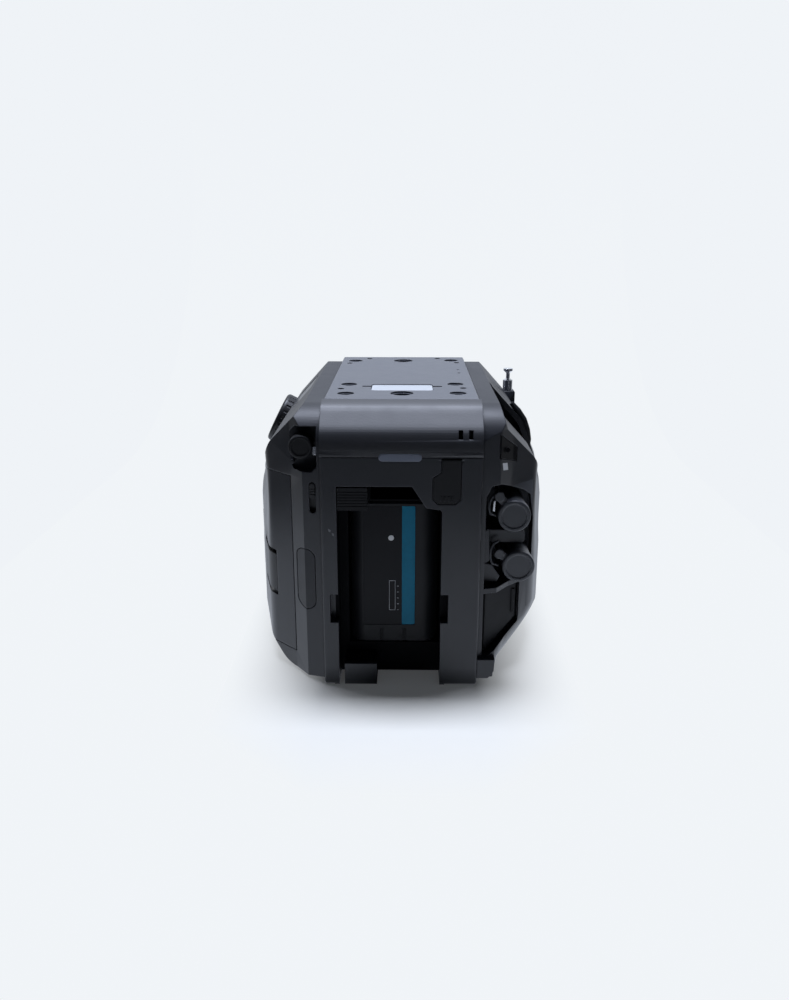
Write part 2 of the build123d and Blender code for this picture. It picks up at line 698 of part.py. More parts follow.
with BuildPart() as headphone_cap:
    add(rod((jack_x, back(6.0), jack_z), (0, 1, 0), 5.3, 6.4))
    fillet(headphone_cap.edges().group_by(Axis.Y)[0], 0.9)
    add(rod((jack_x, back(5.5), jack_z), (0, 1, 0), 3.9, 0.9), mode=Mode.SUBTRACT)
    add(rod((jack_x, back(12), jack_z), (0, 1, 0), 1.7, 9.5))
headphone_cap.part.label = "headphone_cap"
export_step(headphone_cap.part, "parts/headphone_cap.step")

# Bright clip on the wall of the jack recess
with BuildPart() as strap_clip:
    add(block(-38.4, -36.9, back(4.6), back(9.5), 109.0, 112.6))
    fillet(strap_clip.edges().filter_by(Axis.Y).group_by(Axis.X)[0], 0.5)
strap_clip.part.label = "strap_clip"
export_step(strap_clip.part, "parts/strap_clip.step")

# Slide switch on the left rear facet
with BuildPart() as slide_switch:
    add(block(-42.0, -36.6, back(7.5), back(8.5), 85.0, 96.5))
    add(pill(switch_x, 92.6, 7.0, 2.4, 90, back(4.2), back(7.6)))
    for z in (91.4, 92.6, 93.8):
        add(block(-41, -37, back(4.0), back(4.5), z - 0.25, z + 0.25), mode=Mode.SUBTRACT)
slide_switch.part.label = "slide_switch"
export_step(slide_switch.part, "parts/slide_switch.step")

# Data port and its soft cover on the edge between two facets
with BuildPart() as usb_socket:
    add(block(-44.9, -41.5, back(10.4), back(19.0), 45.9, 54.9))
    add(block(-44.3, -42.1, back(10), back(18.0), 46.5, 54.3), mode=Mode.SUBTRACT)
usb_socket.part.label = "usb_socket"
export_step(usb_socket.part, "parts/usb_socket.step")

with BuildPart() as usb_cover:
    add(pill(usb_x, usb_z, 29.0, 8.7, 90, rear_y, back(20)))
    add(left_outer, mode=Mode.INTERSECT)
    add(left_skin, mode=Mode.SUBTRACT)
    add(block(-44.25, -42.15, back(7.5), back(14.5), 46.55, 54.25))
usb_cover.part.label = "usb_cover"
export_step(usb_cover.part, "parts/usb_cover.step")

# Status display on the upper left slope
with BuildPart() as status_display:
    with BuildSketch(display_plane.offset(-1.8)):
        RectangleRounded(39.8, 14.8, 1.3)
    extrude(amount=1.6)
status_display.part.label = "status_display"
export_step(status_display.part, "parts/status_display.step")

# Filter dial with finger flutes
with BuildPart() as nd_dial:
    with BuildSketch(dial_plane.offset(-0.9)):
        Circle(14.0)
    extrude(amount=6.2)
    fillet(nd_dial.edges().filter_by(GeomType.CIRCLE).sort_by(Axis.X)[0], 1.8)
    with BuildSketch(dial_plane.offset(-0.9)):
        with PolarLocations(14.5, 24):
            Circle(0.9)
    extrude(amount=3.8, mode=Mode.SUBTRACT)
    with BuildSketch(dial_plane.offset(5.3)):
        Circle(10.0)
        with Locations((0, -7.6)):
            Rectangle(1.0, 3.6, mode=Mode.SUBTRACT)
    extrude(amount=-0.6, mode=Mode.SUBTRACT)
    with BuildSketch(dial_plane.offset(-0.5)):
        Circle(2.5)
    extrude(amount=-11)
nd_dial.part.label = "nd_dial"
export_step(nd_dial.part, "parts/nd_dial.step")

# Filter wheel behind the lens mount: four openings, three carry glass
with BuildPart() as nd_wheel:
    with BuildSketch(Plane.XZ.offset(-wheel_y)):
        with Locations((wheel_x, wheel_z)):
            Circle(wheel_r)
            with PolarLocations(wheel_pitch, 4, start_angle=45):
                Circle(filter_r, mode=Mode.SUBTRACT)
            Circle(2.0 + run, mode=Mode.SUBTRACT)
    extrude(amount=-wheel_t)
nd_wheel.part.label = "nd_wheel"
export_step(nd_wheel.part, "parts/nd_wheel.step")

with BuildPart() as nd_filters:
    with BuildSketch(Plane.XZ.offset(-(wheel_y + 0.4))):
        with Locations((wheel_x, wheel_z)):
            with PolarLocations(wheel_pitch, 3, start_angle=45, angular_range=270):
                Circle(filter_r)
    extrude(amount=-1.2)
nd_filters.part.label = "nd_filters"
export_step(nd_filters.part, "parts/nd_filters.step")

# Menu dial, assign buttons and a toggle on the flat control field
with BuildPart() as menu_dial:
    with BuildSketch(control_plane.offset(-0.7)):
        with Locations((-dial_y, menu_z)):
            Circle(7.0)
            with PolarLocations(7.3, 16):
                Circle(0.7, mode=Mode.SUBTRACT)
    extrude(amount=3.6)
    with BuildSketch(control_plane.offset(2.9)):
        with Locations((-dial_y, menu_z)):
            Circle(4.6)
    extrude(amount=-0.6, mode=Mode.SUBTRACT)
    add(rod((face_x + 0.5, dial_y, menu_z), (1, 0, 0), 1.5, 7.0))
menu_dial.part.label = "menu_dial"
export_step(menu_dial.part, "parts/menu_dial.step")

for number, y in ((1, assign_ys[0]), (2, assign_ys[1])):
    with BuildPart() as assign_button:
        add(rod((face_x + 1.3, y, assign_z), (-1, 0, 0), 2.8, 2.5))
        fillet(assign_button.edges().group_by(Axis.X)[0], 0.5)
        add(rod((face_x + 1.0, y, assign_z), (1, 0, 0), 1.2, 5.0))
    assign_button.part.label = "assign_button_" + str(number)
    export_step(assign_button.part, "parts/assign_button_" + str(number) + ".step")

with BuildPart() as gain_switch:
    add(rod((face_x + 2.0, dial_y - 2.5, toggle_z), (0, 1, 0), 2.2, 5.0))
    add(rod((face_x + 2.0, dial_y - 4.1, toggle_z), (0, 1, 0), 0.8, 8.2))
    add(rod((face_x + 2.0, dial_y, toggle_z), (-1, 0, 0), 1.1, 5.8))
    fillet(gain_switch.edges().group_by(Axis.X)[0], 0.4)
gain_switch.part.label = "gain_switch"
export_step(gain_switch.part, "parts/gain_switch.step")

# Record button on the front end of the left housing
with BuildPart() as record_button:
    add(rod((-47, back(housing_end - 1.2), 40), (0, 1, 0), 5.5, 2.0))
    fillet(record_button.edges().group_by(Axis.Y)[-1], 0.6)
    add(rod((-47, back(housing_end - 1), 40), (0, -1, 0), stem_r, 8.5))
record_button.part.label = "record_button"
export_step(record_button.part, "parts/record_button.step")

# Media unit: two card slots that face the rear behind the media door
unit_y = back(34.5)
card_t = 3.8
card_h = 29.8
card_l = 38.5
card_xs = (-58.3, -52.8)
card_z = 58.0
with BuildPart() as media_slot_unit:
    add(block(-61.0, -50.2, unit_y, back(73.0), 40.0, 76.0))
    add(block(-50.2, -spine_half, back(40), back(70), 56.0, 59.0))
    for x in card_xs:
        add(
            block(
                x - card_t / 2 - run, x + card_t / 2 + run, unit_y - 1, unit_y + 36.3,
                card_z - card_h / 2 - run, card_z + card_h / 2 + run,
            ),
            mode=Mode.SUBTRACT,
        )
media_slot_unit.part.label = "media_slot_unit"
export_step(media_slot_unit.part, "parts/media_slot_unit.step")

for number, x in ((1, card_xs[0]), (2, card_xs[1])):
    with BuildPart() as memory_card:
        add(
            block(
                x - card_t / 2, x + card_t / 2, unit_y - 2.5, unit_y - 2.5 + card_l,
                card_z - card_h / 2, card_z + card_h / 2,
            )
        )
        chamfer(memory_card.edges().filter_by(Axis.Z).group_by(Axis.Y)[-1], 0.6)
    memory_card.part.label = "memory_card_" + str(number)
    export_step(memory_card.part, "parts/memory_card_" + str(number) + ".step")

# Right housing: rear part with a lower shoulder, full section under the hood
hood_y = 74.0
pocket_back = 52.0
pocket_front = 97.0
recess_outline = [
    (37.5, 90.0), (40.0, 95.0), (44.0, 95.5), (55.5, 89.5), (59.5, 86.0), (61.3, 74.0),
    (61.3, 56.0), (59.0, 46.6), (37.5, 46.6),
]
recess_walls = [
    (spine_half, 97.5), (45.0, 98.0), (57.5, 91.5), (61.5, 87.5), (63.5, 74.5),
    (63.5, 55.0), (60.5, 44.2), (spine_half, 44.2),
]
port_cover_outline = [(38.8, 13.2), (54.0, 26.6), (54.0, 43.6), (38.8, 43.6)]
cover_recess = [(37.5, 11.4), (38.4, 11.4), (55.6, 23.7), (55.6, 44.2), (37.5, 44.2)]
cover_walls = [(spine_half, 9.4), (38.8, 9.0), (58.0, 24.0), (58.0, 46.4), (spine_half, 46.4)]
hdmi_x = 45.5
hdmi_z = 33.0
xlr_spots = ((46.6, 108.2), (54.9, 93.0))
bnc_spots = ((1, 50.5, 80.2, 43.8, 89.0), (2, 53.3, 56.2, 44.6, 61.9))
xlr_r = 8.5
rosette_y = back(118.0)
rosette_z = 42.0
rosette_x = 71.8
rosette_t = 4.2
pocket_outline = [
    (38.0, 83.0), (90.0, 83.0), (90.0, 140.0), (44.8, 140.0), (44.8, 121.5), (41.8, 117.6),
    (38.0, 117.6),
]
port_slope = 0.72
fan_y = back(76.5)
fan_z = 34.0


def port_y(x):
    """outer face of the slanted port cover"""
    return back(9.0 + (x - 38.8) * port_slope)


with BuildPart() as right_housing:
    with BuildPart(mode=Mode.PRIVATE) as rear_shell:
        add(right_low)
        add(right_low_inner, mode=Mode.SUBTRACT)
        add(block(30, 90, rear_y, back(hood_y), 0, 140), mode=Mode.INTERSECT)
    with BuildPart(mode=Mode.PRIVATE) as front_shell:
        add(right_full)
        add(right_full_inner, mode=Mode.SUBTRACT)
        add(block(30, 90, back(hood_y), flange_y, 0, 140), mode=Mode.INTERSECT)
    add(rear_shell.part)
    add(front_shell.part)
    # walls of the audio pocket, then the pocket itself
    with BuildPart(mode=Mode.PRIVATE) as audio_walls:
        add(block(35.8, 90, back(pocket_back - 2), back(pocket_front + 2.4), 81, 140))
        add(right_low, mode=Mode.INTERSECT)
    with BuildPart(mode=Mode.PRIVATE) as audio_end:
        add(block(35.8, 90, back(hood_y), back(pocket_front + 2.4), 81, 140))
        add(right_full, mode=Mode.INTERSECT)
    add(audio_walls.part)
    add(audio_end.part)
    add(prism(pocket_outline, back(pocket_back), back(pocket_front)), mode=Mode.SUBTRACT)
    for x, z in xlr_spots:
        add(rod((x, back(95), z), (0, 1, 0), xlr_r, 6), mode=Mode.SUBTRACT)
    # recess of the video connectors
    with BuildPart(mode=Mode.PRIVATE) as connector_walls:
        add(prism(recess_walls, rear_y, back(36.2)))
        add(right_low, mode=Mode.INTERSECT)
    add(connector_walls.part)
    with BuildPart(mode=Mode.PRIVATE) as lower_walls:
        add(prism(cover_walls, rear_y, back(27.0)))
        add(right_low, mode=Mode.INTERSECT)
    add(lower_walls.part)
    add(prism(recess_outline, rear_y - 1, back(34.0)), mode=Mode.SUBTRACT)
    with BuildPart(mode=Mode.PRIVATE) as port_recess:
        add(
            slab(
                [
                    (37.5, rear_y - 1), (55.6, rear_y - 1), (55.6, port_y(55.6) + 2.7),
                    (37.5, port_y(37.5) + 2.7),
                ],
                0, 60,
            )
        )
        add(prism(cover_recess, rear_y - 2, back(40)), mode=Mode.INTERSECT)
    add(port_recess.part, mode=Mode.SUBTRACT)
    # connector seats in the recess floor
    for number, x, z, tab_x, tab_z in bnc_spots:
        add(rod((x, back(33), z), (0, 1, 0), 4.8, 5), mode=Mode.SUBTRACT)
        add(rod((tab_x, back(33), tab_z), (0, 1, 0), 0.9 + run, 5), mode=Mode.SUBTRACT)
    add(
        block(
            hdmi_x - 2.8, hdmi_x + 2.8, back(14), back(30), hdmi_z - 7.6, hdmi_z + 7.6,
        ),
        mode=Mode.SUBTRACT,
    )
    # small foot lug at the lower rear corner
    add(
        prism(
            [(spine_half, 3.2), (40.4, 3.2), (43.3, 7.0), (43.6, 12.6), (spine_half, 12.6)],
            back(1.0), back(12.0),
        )
    )
    # pivot holes of the lower cover
    add(rod((38.8, port_y(38.8) + 1.2, 10.4), (0, 0, 1), 0.7 + run, 35.0), mode=Mode.SUBTRACT)
    # strap lug under the belly
    with BuildPart(mode=Mode.PRIVATE) as strap_lug:
        add(block(53.0, 60.2, back(33), back(39), 2.4, 12.0))
        fillet(strap_lug.edges().filter_by(Axis.Y).sort_by(Axis.Z)[:2], 1.0)
        add(right_low_inner, mode=Mode.SUBTRACT)
    add(strap_lug.part)
    # seat of the remote port cover
    with BuildPart(mode=Mode.PRIVATE) as remote_box:
        add(block(spine_half, 56.0, back(4), back(22), 99.5, 121.0))
        add(right_low, mode=Mode.INTERSECT)
    add(remote_box.part)
    remote_recess_outline = [(42.8, 118.4), (51.6, 110.2), (51.6, 103.4), (42.8, 107.4)]
    with BuildPart(mode=Mode.PRIVATE) as remote_recess:
        add(prism(remote_recess_outline, rear_y, back(30)))
        add(right_skin_floor, mode=Mode.SUBTRACT)
    add(remote_recess.part, mode=Mode.SUBTRACT)
    add(rod((46.6, back(4), 110.4), (0, 1, 0), 1.1 + run, 16), mode=Mode.SUBTRACT)
    # block under the tape hook at the image plane
    with BuildPart(mode=Mode.PRIVATE) as hook_block:
        add(block(56.2, 64.0, image_y - 3.9, image_y + 3.9, 101.0, 113.4))
        chamfer(hook_block.faces().sort_by(Axis.Z)[-1].edges(), 0.6)
        add(right_full_inner, mode=Mode.SUBTRACT)
    add(hook_block.part)
    # rosette boss with its tapped hole and air outlet slots
    with BuildPart(mode=Mode.PRIVATE) as rosette_boss:
        add(rod((62.6, rosette_y, rosette_z), (1, 0, 0), 17.5, rosette_x - 62.6))
    add(rosette_boss.part)
    add(rod((rosette_x, rosette_y, rosette_z), (1, 0, 0), 16.2, 6), mode=Mode.SUBTRACT)
    add(rod((rosette_x + 1, rosette_y, rosette_z), (-1, 0, 0), 2.5, 9.6), mode=Mode.SUBTRACT)
    for k in range(6):
        y = fan_y - 14.0 + 5.6 * k
        add(block(60, 80, y - 1.3, y + 1.3, 22, 48), mode=Mode.SUBTRACT)
right_housing.part.label = "right_housing"
export_step(right_housing.part, "parts/right_housing.step")

# Hood over the audio inputs, open to the rear
with BuildPart() as audio_hood:
    add(right_full)
    add(housing_form(1, right_section, 2.6), mode=Mode.SUBTRACT)
    add(prism(pocket_outline, back(hood_y - 1.5), back(pocket_front)), mode=Mode.INTERSECT)
    # two fine grooves across the top of the hood
    for y in (back(90.5), back(93.0)):
        with BuildPart(mode=Mode.PRIVATE) as groove:
            add(block(46, 90, y - 0.35, y + 0.35, 90, 140))
            add(housing_form(1, right_section, 0.5), mode=Mode.SUBTRACT)
        add(groove.part, mode=Mode.SUBTRACT)
audio_hood.part.label = "audio_hood"
export_step(audio_hood.part, "parts/audio_hood.step")

# Audio input sockets: round shell, recessed insert, three contact holes, key slot
for number, (x, z) in ((1, xlr_spots[0]), (2, xlr_spots[1])):
    with BuildPart() as xlr_socket:
        add(rod((x, back(92.0), z), (0, 1, 0), xlr_r, 8.0))
        add(rod((x, back(99.0), z), (0, 1, 0), xlr_r - 1.2, 13.0))
        add(rod((x, back(91.0), z), (0, 1, 0), 7.2, 2.6), mode=Mode.SUBTRACT)
        for dx, dz in ((-2.9, 1.6), (2.9, 1.6), (0.0, -3.3)):
            add(rod((x + dx, back(93), z + dz), (0, 1, 0), 1.3, 9.0), mode=Mode.SUBTRACT)
        add(block(x - 1.3, x + 1.3, back(91.0), back(97.0), z + 5.2, z + 7.6), mode=Mode.SUBTRACT)
    xlr_socket.part.label = "xlr_socket_" + str(number)
    export_step(xlr_socket.part, "parts/xlr_socket_" + str(number) + ".step")

# Video connectors and their soft caps with straps
for number, x, z, tab_x, tab_z in bnc_spots:
    with BuildPart() as bnc_socket:
        add(rod((x, back(16.0), z), (0, 1, 0), 4.8, 24.0))
        add(rod((x, back(31.6), z), (0, 1, 0), 6.4, 2.4))
        # two locking studs, then the bore with its centre contact
        add(rod((x - 5.7, back(25.5), z), (1, 0, 0), 0.8, 11.4))
        add(rod((x, back(15.0), z), (0, 1, 0), 3.9, 9.0), mode=Mode.SUBTRACT)
        add(rod((x, back(17.0), z), (0, 1, 0), 2.2, 8.0))
        add(rod((x, back(16.0), z), (0, 1, 0), 0.7, 6.0), mode=Mode.SUBTRACT)
    bnc_socket.part.label = "bnc_socket_" + str(number)
    export_step(bnc_socket.part, "parts/bnc_socket_" + str(number) + ".step")
    with BuildPart() as bnc_cap:
        add(rod((x, back(7.6), z), (0, 1, 0), 7.4, 4.4))
        fillet(bnc_cap.edges().group_by(Axis.Y)[0], 0.8)
        add(rod((x, back(12.0), z), (0, 1, 0), 6.8, 19.0))
        add(rod((x, back(7.0), z), (0, 1, 0), 5.7, 1.1), mode=Mode.SUBTRACT)
        # strap arm to the anchor cord
        arm = Plane(
            origin=((x + tab_x) / 2, back(9.0), (z + tab_z) / 2),
            x_dir=(tab_x - x, 0, tab_z - z), z_dir=(0, 1, 0),
        )
        with BuildSketch(arm):
            Rectangle(12.0, 3.6)
        extrude(amount=1.6)
        add(rod((tab_x, back(8.4), tab_z), (0, 1, 0), 2.2, 2.6))
        add(rod((tab_x, back(9.0), tab_z), (0, 1, 0), 0.9, 26.5))
        add(rod((x, back(10.6), z), (0, 1, 0), 4.8 + run, 21.0), mode=Mode.SUBTRACT)
        add(rod((x, back(23.0), z), (0, 1, 0), 5.9, 9.0), mode=Mode.SUBTRACT)
    bnc_cap.part.label = "bnc_cap_" + str(number)
    export_step(bnc_cap.part, "parts/bnc_cap_" + str(number) + ".step")

# Digital video port and its hinged cover in the lower recess
with BuildPart() as hdmi_socket:
    add(block(hdmi_x - 2.8, hdmi_x + 2.8, back(19.4), back(31.8), hdmi_z - 7.6, hdmi_z + 7.6))
    add(
        block(hdmi_x - 2.2, hdmi_x + 2.2, back(19), back(29.8), hdmi_z - 7.0, hdmi_z + 7.0),
        mode=Mode.SUBTRACT,
    )
    add(block(hdmi_x - 0.5, hdmi_x + 0.5, back(21.8), back(30.3), hdmi_z - 5.8, hdmi_z + 5.8))
hdmi_socket.part.label = "hdmi_socket"
export_step(hdmi_socket.part, "parts/hdmi_socket.step")

with BuildPart() as hdmi_cover:
    add(
        slab(
            [
                (38.8, port_y(38.8)), (54.0, port_y(54.0)), (54.0, port_y(54.0) + 2.4),
                (38.8, port_y(38.8) + 2.4),
            ],
            13.2, 43.6,
        )
    )
    add(prism(port_cover_outline, rear_y, back(40)), mode=Mode.INTERSECT)
    add(rod((38.8, port_y(38.8) + 1.2, 13.2), (0, 0, 1), 1.0, 30.4))
    add(rod((38.8, port_y(38.8) + 1.2, 10.6), (0, 0, 1), 0.7, 34.6))
    # raised finger edge along the free side
    add(block(52.0, 53.4, port_y(52.0) - 0.5, port_y(53.4) + 1.0, 29.0, 41.0))
hdmi_cover.part.label = "hdmi_cover"
export_step(hdmi_cover.part, "parts/hdmi_cover.step")

# Remote port cover, a soft plug with a slanted outline
with BuildPart() as remote_cover:
    add(prism([(43.1, 117.8), (51.3, 110.1), (51.3, 103.9), (43.1, 107.6)], rear_y, back(25)))
    add(right_low, mode=Mode.INTERSECT)
    add(right_skin, mode=Mode.SUBTRACT)
    add(rod((46.6, back(9.0), 110.4), (0, 1, 0), 1.1, 7.5))
remote_cover.part.label = "remote_cover"
export_step(remote_cover.part, "parts/remote_cover.step")

# Toothed rosette for the grip arm
with BuildPart() as grip_rosette:
    add(rod((rosette_x, rosette_y, rosette_z), (1, 0, 0), 15.9, rosette_t))
    add(rod((rosette_x - 1, rosette_y, rosette_z), (1, 0, 0), 3.4, rosette_t + 3), mode=Mode.SUBTRACT)
    rosette_face = (rosette_x + rosette_t, rosette_y, rosette_z)
    with Locations(Plane(rosette_face, x_dir=(0, 1, 0), z_dir=(1, 0, 0))):
        with PolarLocations(12.2, 36):
            Box(8.2, 0.95, 2.4, rotation=(45, 0, 0), mode=Mode.SUBTRACT)
grip_rosette.part.label = "grip_rosette"
export_step(grip_rosette.part, "parts/grip_rosette.step")

# Turned tape hook at the image plane
with BuildPart() as tape_hook:
    with BuildSketch(Plane.XZ.offset(-image_y)):
        with BuildLine():
            Polyline(
                (60.1, 113.4), (62.85, 113.4), (62.85, 119.2), (61.2, 120.2), (61.2, 123.2),
                (62.8, 124.6), (62.8, 125.8), (60.1, 125.8), close=True,
            )
        make_face()
    revolve(axis=Axis((60.1, image_y, 0), (0, 0, 1)))
tape_hook.part.label = "tape_hook"
export_step(tape_hook.part, "parts/tape_hook.step")

# Front panel around the lens mount
button_x = 29.0
button_z = 38.0
panel_t = 2.5
with BuildPart() as front_panel:
    add(block(-spine_half, spine_half, front_face_y, front_face_y + panel_t, 1.0, strip_top))
    chamfer(front_panel.faces().sort_by(Axis.Y)[-1].edges(), 0.8)
    add(rod((0, front_face_y - 1, optic_z), (0, 1, 0), ring_r + 0.2, 5), mode=Mode.SUBTRACT)
    add(rod((button_x, front_face_y - 1, button_z), (0, 1, 0), 4.3, 5), mode=Mode.SUBTRACT)
front_panel.part.label = "front_panel"
export_step(front_panel.part, "parts/front_panel.step")

# Lens mount ring with three bayonet lugs
with BuildPart() as lens_mount_ring:
    add(rod((0, front_face_y, optic_z), (0, 1, 0), ring_r, flange_y - front_face_y))
    chamfer(lens_mount_ring.edges().group_by(Axis.Y)[-1], 0.6)
    add(rod((0, front_face_y - 1, optic_z), (0, 1, 0), throat_r, 10), mode=Mode.SUBTRACT)
    add(rod((0, front_face_y - 1, optic_z), (0, 1, 0), groove_r, 1 + groove_len), mode=Mode.SUBTRACT)
    with BuildSketch(Plane.XZ.offset(-front_face_y)):
        with Locations((0, optic_z)):
            Circle(groove_r)
            Circle(lug_r, mode=Mode.SUBTRACT)
            with PolarLocations(throat_r, 3, start_angle=30):
                Rectangle(8.0, 24.0, mode=Mode.SUBTRACT)
    extrude(amount=-1.6)
    with Locations(lens_plane(flange_y)):
        with PolarLocations(27.5, 6, start_angle=30):
            Cylinder(0.8, 20, mode=Mode.SUBTRACT)
            Cylinder(1.6, 2.4, mode=Mode.SUBTRACT)
lens_mount_ring.part.label = "lens_mount_ring"
export_step(lens_mount_ring.part, "parts/lens_mount_ring.step")

with BuildPart() as mount_screws:
    with Locations(lens_plane(flange_y - 0.2)):
        with PolarLocations(27.5, 6, start_angle=30):
            Cylinder(1.6, 1.0, align=(Align.CENTER, Align.CENTER, Align.MIN))
            Cylinder(0.8, 8.0, align=(Align.CENTER, Align.CENTER, Align.MIN))
            Box(0.35, 2.2, 0.7, mode=Mode.SUBTRACT)
mount_screws.part.label = "mount_screws"
export_step(mount_screws.part, "parts/mount_screws.step")

# Contact block at the bottom of the throat
with BuildPart() as mount_contacts:
    with BuildSketch(Plane.XZ.offset(-(front_face_y - 3.4))):
        with Locations((0, optic_z)):
            Circle(throat_r + 1.5)
            Circle(19.0, mode=Mode.SUBTRACT)
        with Locations((0, optic_z - 22.5)):
            Rectangle(21.0, 9.0, mode=Mode.INTERSECT)
    extrude(amount=-3.0)
    with BuildSketch(Plane.XZ.offset(-(front_face_y - 0.5))):
        with Locations((0, optic_z)):
            with PolarLocations(20.4, 9, start_angle=270 - 21, angular_range=42, endpoint=True):
                Circle(0.45)
    extrude(amount=-0.7)
mount_contacts.part.label = "mount_contacts"
export_step(mount_contacts.part, "parts/mount_contacts.step")

with BuildPart() as lens_release_button:
    add(rod((button_x, front_face_y + 1.3, button_z), (0, 1, 0), 4.0, 3.6))
    fillet(lens_release_button.edges().group_by(Axis.Y)[-1], 0.7)
    add(rod((button_x, front_face_y + 1.5, button_z), (0, -1, 0), stem_r, 7.5))
lens_release_button.part.label = "lens_release_button"
export_step(lens_release_button.part, "parts/lens_release_button.step")

# Image sensor unit: metal carrier and the sensor package with its glass lid
with BuildPart() as sensor_carrier:
    add(block(-inner_half, inner_half, image_y - 6.5, image_y, 36, 104))
    add(block(-18, 18, image_y - 2.5, image_y + 1, optic_z - 14, optic_z + 14), mode=Mode.SUBTRACT)
    add(rod((wheel_x, image_y, wheel_z), (0, 1, 0), 3.4, wheel_y - image_y - 0.3))
sensor_carrier.part.label = "sensor_carrier"
export_step(sensor_carrier.part, "parts/sensor_carrier.step")

with BuildPart() as image_sensor:
    add(block(-15, 15, image_y - 1, image_y + 1.2, optic_z - 11, optic_z + 11))
    chamfer(image_sensor.faces().sort_by(Axis.Y)[-1].edges(), 0.3)
    add(block(-18, 18, image_y - 2.5, image_y, optic_z - 14, optic_z + 14))
image_sensor.part.label = "image_sensor"
export_step(image_sensor.part, "parts/image_sensor.step")

# Main circuit board with its packages
board_y = 10.0
with BuildPart() as main_board:
    add(block(-inner_half, inner_half, board_y, board_y + 1.6, 14, 118))
    for x, z, w, h, t in (
        (0, 70, 26, 26, 2.4), (-20, 96, 14, 10, 1.4), (6, 98, 12, 10, 1.4), (22, 44, 12, 16, 1.8),
        (-16, 40, 16, 12, 3.0), (4, 26, 30, 6, 4.0), (22, 104, 10, 8, 5.0),
    ):
        add(block(x - w / 2, x + w / 2, board_y + 1.6, board_y + 1.6 + t, z - h / 2, z + h / 2))
main_board.part.label = "main_board"
export_step(main_board.part, "parts/main_board.step")

# Cooling: finned sink on the chassis wall and a fan that blows out to the right
fan_x = 52.0
fan_size = 40.0
with BuildPart() as heat_sink:
    add(block(spine_half, spine_half + 2.5, fan_y - 20, fan_y + 20, 14, 54))
    for k in range(8):
        y = fan_y - 19.2 + k * 5.3
        add(block(spine_half + 2, fan_x, y, y + 1.3, 14, 54))
heat_sink.part.label = "heat_sink"
export_step(heat_sink.part, "parts/heat_sink.step")

with BuildPart() as fan_frame:
    add(block(fan_x, fan_x + 10, fan_y - 20, fan_y + 20, fan_z - 20, fan_z + 20))
    add(rod((fan_x - 1, fan_y, fan_z), (1, 0, 0), 18.6, 12), mode=Mode.SUBTRACT)
    add(rod((fan_x, fan_y, fan_z), (1, 0, 0), 6.0, 1.2))
    add(rod((fan_x, fan_y, fan_z), (1, 0, 0), 1.0, 8.0))
    for k in range(3):
        spoke = Plane(
            origin=(fan_x, fan_y, fan_z),
            x_dir=Vector(0, 1, 0).rotate(Axis.X, 30 + 120 * k), z_dir=(1, 0, 0),
        )
        with BuildSketch(spoke):
            with Locations((12.2, 0)):
                Rectangle(14.0, 2.0)
        extrude(amount=1.2)
    for dy in (-16, 16):
        for dz in (-16, 16):
            add(rod((fan_x - 1, fan_y + dy, fan_z + dz), (1, 0, 0), 1.7, 12), mode=Mode.SUBTRACT)
fan_frame.part.label = "fan_frame"
export_step(fan_frame.part, "parts/fan_frame.step")

with BuildPart() as fan_rotor:
    add(rod((fan_x + 1.6, fan_y, fan_z), (1, 0, 0), 6.6, 7.6))
    with Locations(Plane((fan_x + 5.4, fan_y, fan_z), x_dir=(0, 1, 0), z_dir=(1, 0, 0))):
        with PolarLocations(11.8, 7):
            Box(12.4, 7.6, 0.9, rotation=(38, 0, 0))
    add(rod((fan_x + 1.0, fan_y, fan_z), (1, 0, 0), 1.0 + run, 7.4), mode=Mode.SUBTRACT)
fan_rotor.part.label = "fan_rotor"
export_step(fan_rotor.part, "parts/fan_rotor.step")

# Base plate with tripod threads, shoulder pad and screws
base_low = 1.0
base_top = 7.0
with BuildPart() as base_plate:
    add(block(-spine_half, spine_half, chassis_back, front_face_y, base_low, base_top))
    add(block(-23, 23, -20, 66, 0, base_low + 1.0), mode=Mode.SUBTRACT)
    add(block(-13, 13, -22, 50, base_low, base_low + 1.5))
    with Locations((0, 24.0, base_low)):
        with GridLocations(60.0, 74.0, 2, 2):
            Cylinder(1.2, 20, mode=Mode.SUBTRACT)
            Cylinder(2.4, 4.0, mode=Mode.SUBTRACT)
    with Locations((0, 8.0, base_low)):
        Cylinder(3.97, 20, mode=Mode.SUBTRACT)
    with Locations((0, 40.0, base_low), (0, -14.0, base_low)):
        Cylinder(2.55, 20, mode=Mode.SUBTRACT)
base_plate.part.label = "base_plate"
export_step(base_plate.part, "parts/base_plate.step")

with BuildPart() as shoulder_pad:
    add(block(-23, 23, -20, 66, 0, base_low + 1.0))
    fillet(shoulder_pad.faces().sort_by(Axis.Z)[0].edges(), 0.8)
    add(block(-13, 13, -22, 50, -1, base_low + 2), mode=Mode.SUBTRACT)
shoulder_pad.part.label = "shoulder_pad"
export_step(shoulder_pad.part, "parts/shoulder_pad.step")

with BuildPart() as base_screws:
    with Locations((0, 24.0, base_low + 0.3)):
        with GridLocations(60.0, 74.0, 2, 2):
            Cylinder(2.4, 1.7, align=(Align.CENTER, Align.CENTER, Align.MIN))
            Cylinder(1.2, 9.0, align=(Align.CENTER, Align.CENTER, Align.MIN))
            Box(0.6, 3.0, 1.2, mode=Mode.SUBTRACT)
base_screws.part.label = "base_screws"
export_step(base_screws.part, "parts/base_screws.step")
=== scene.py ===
import bmesh
import bpy
import math
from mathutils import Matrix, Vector
from mathutils.bvhtree import BVHTree


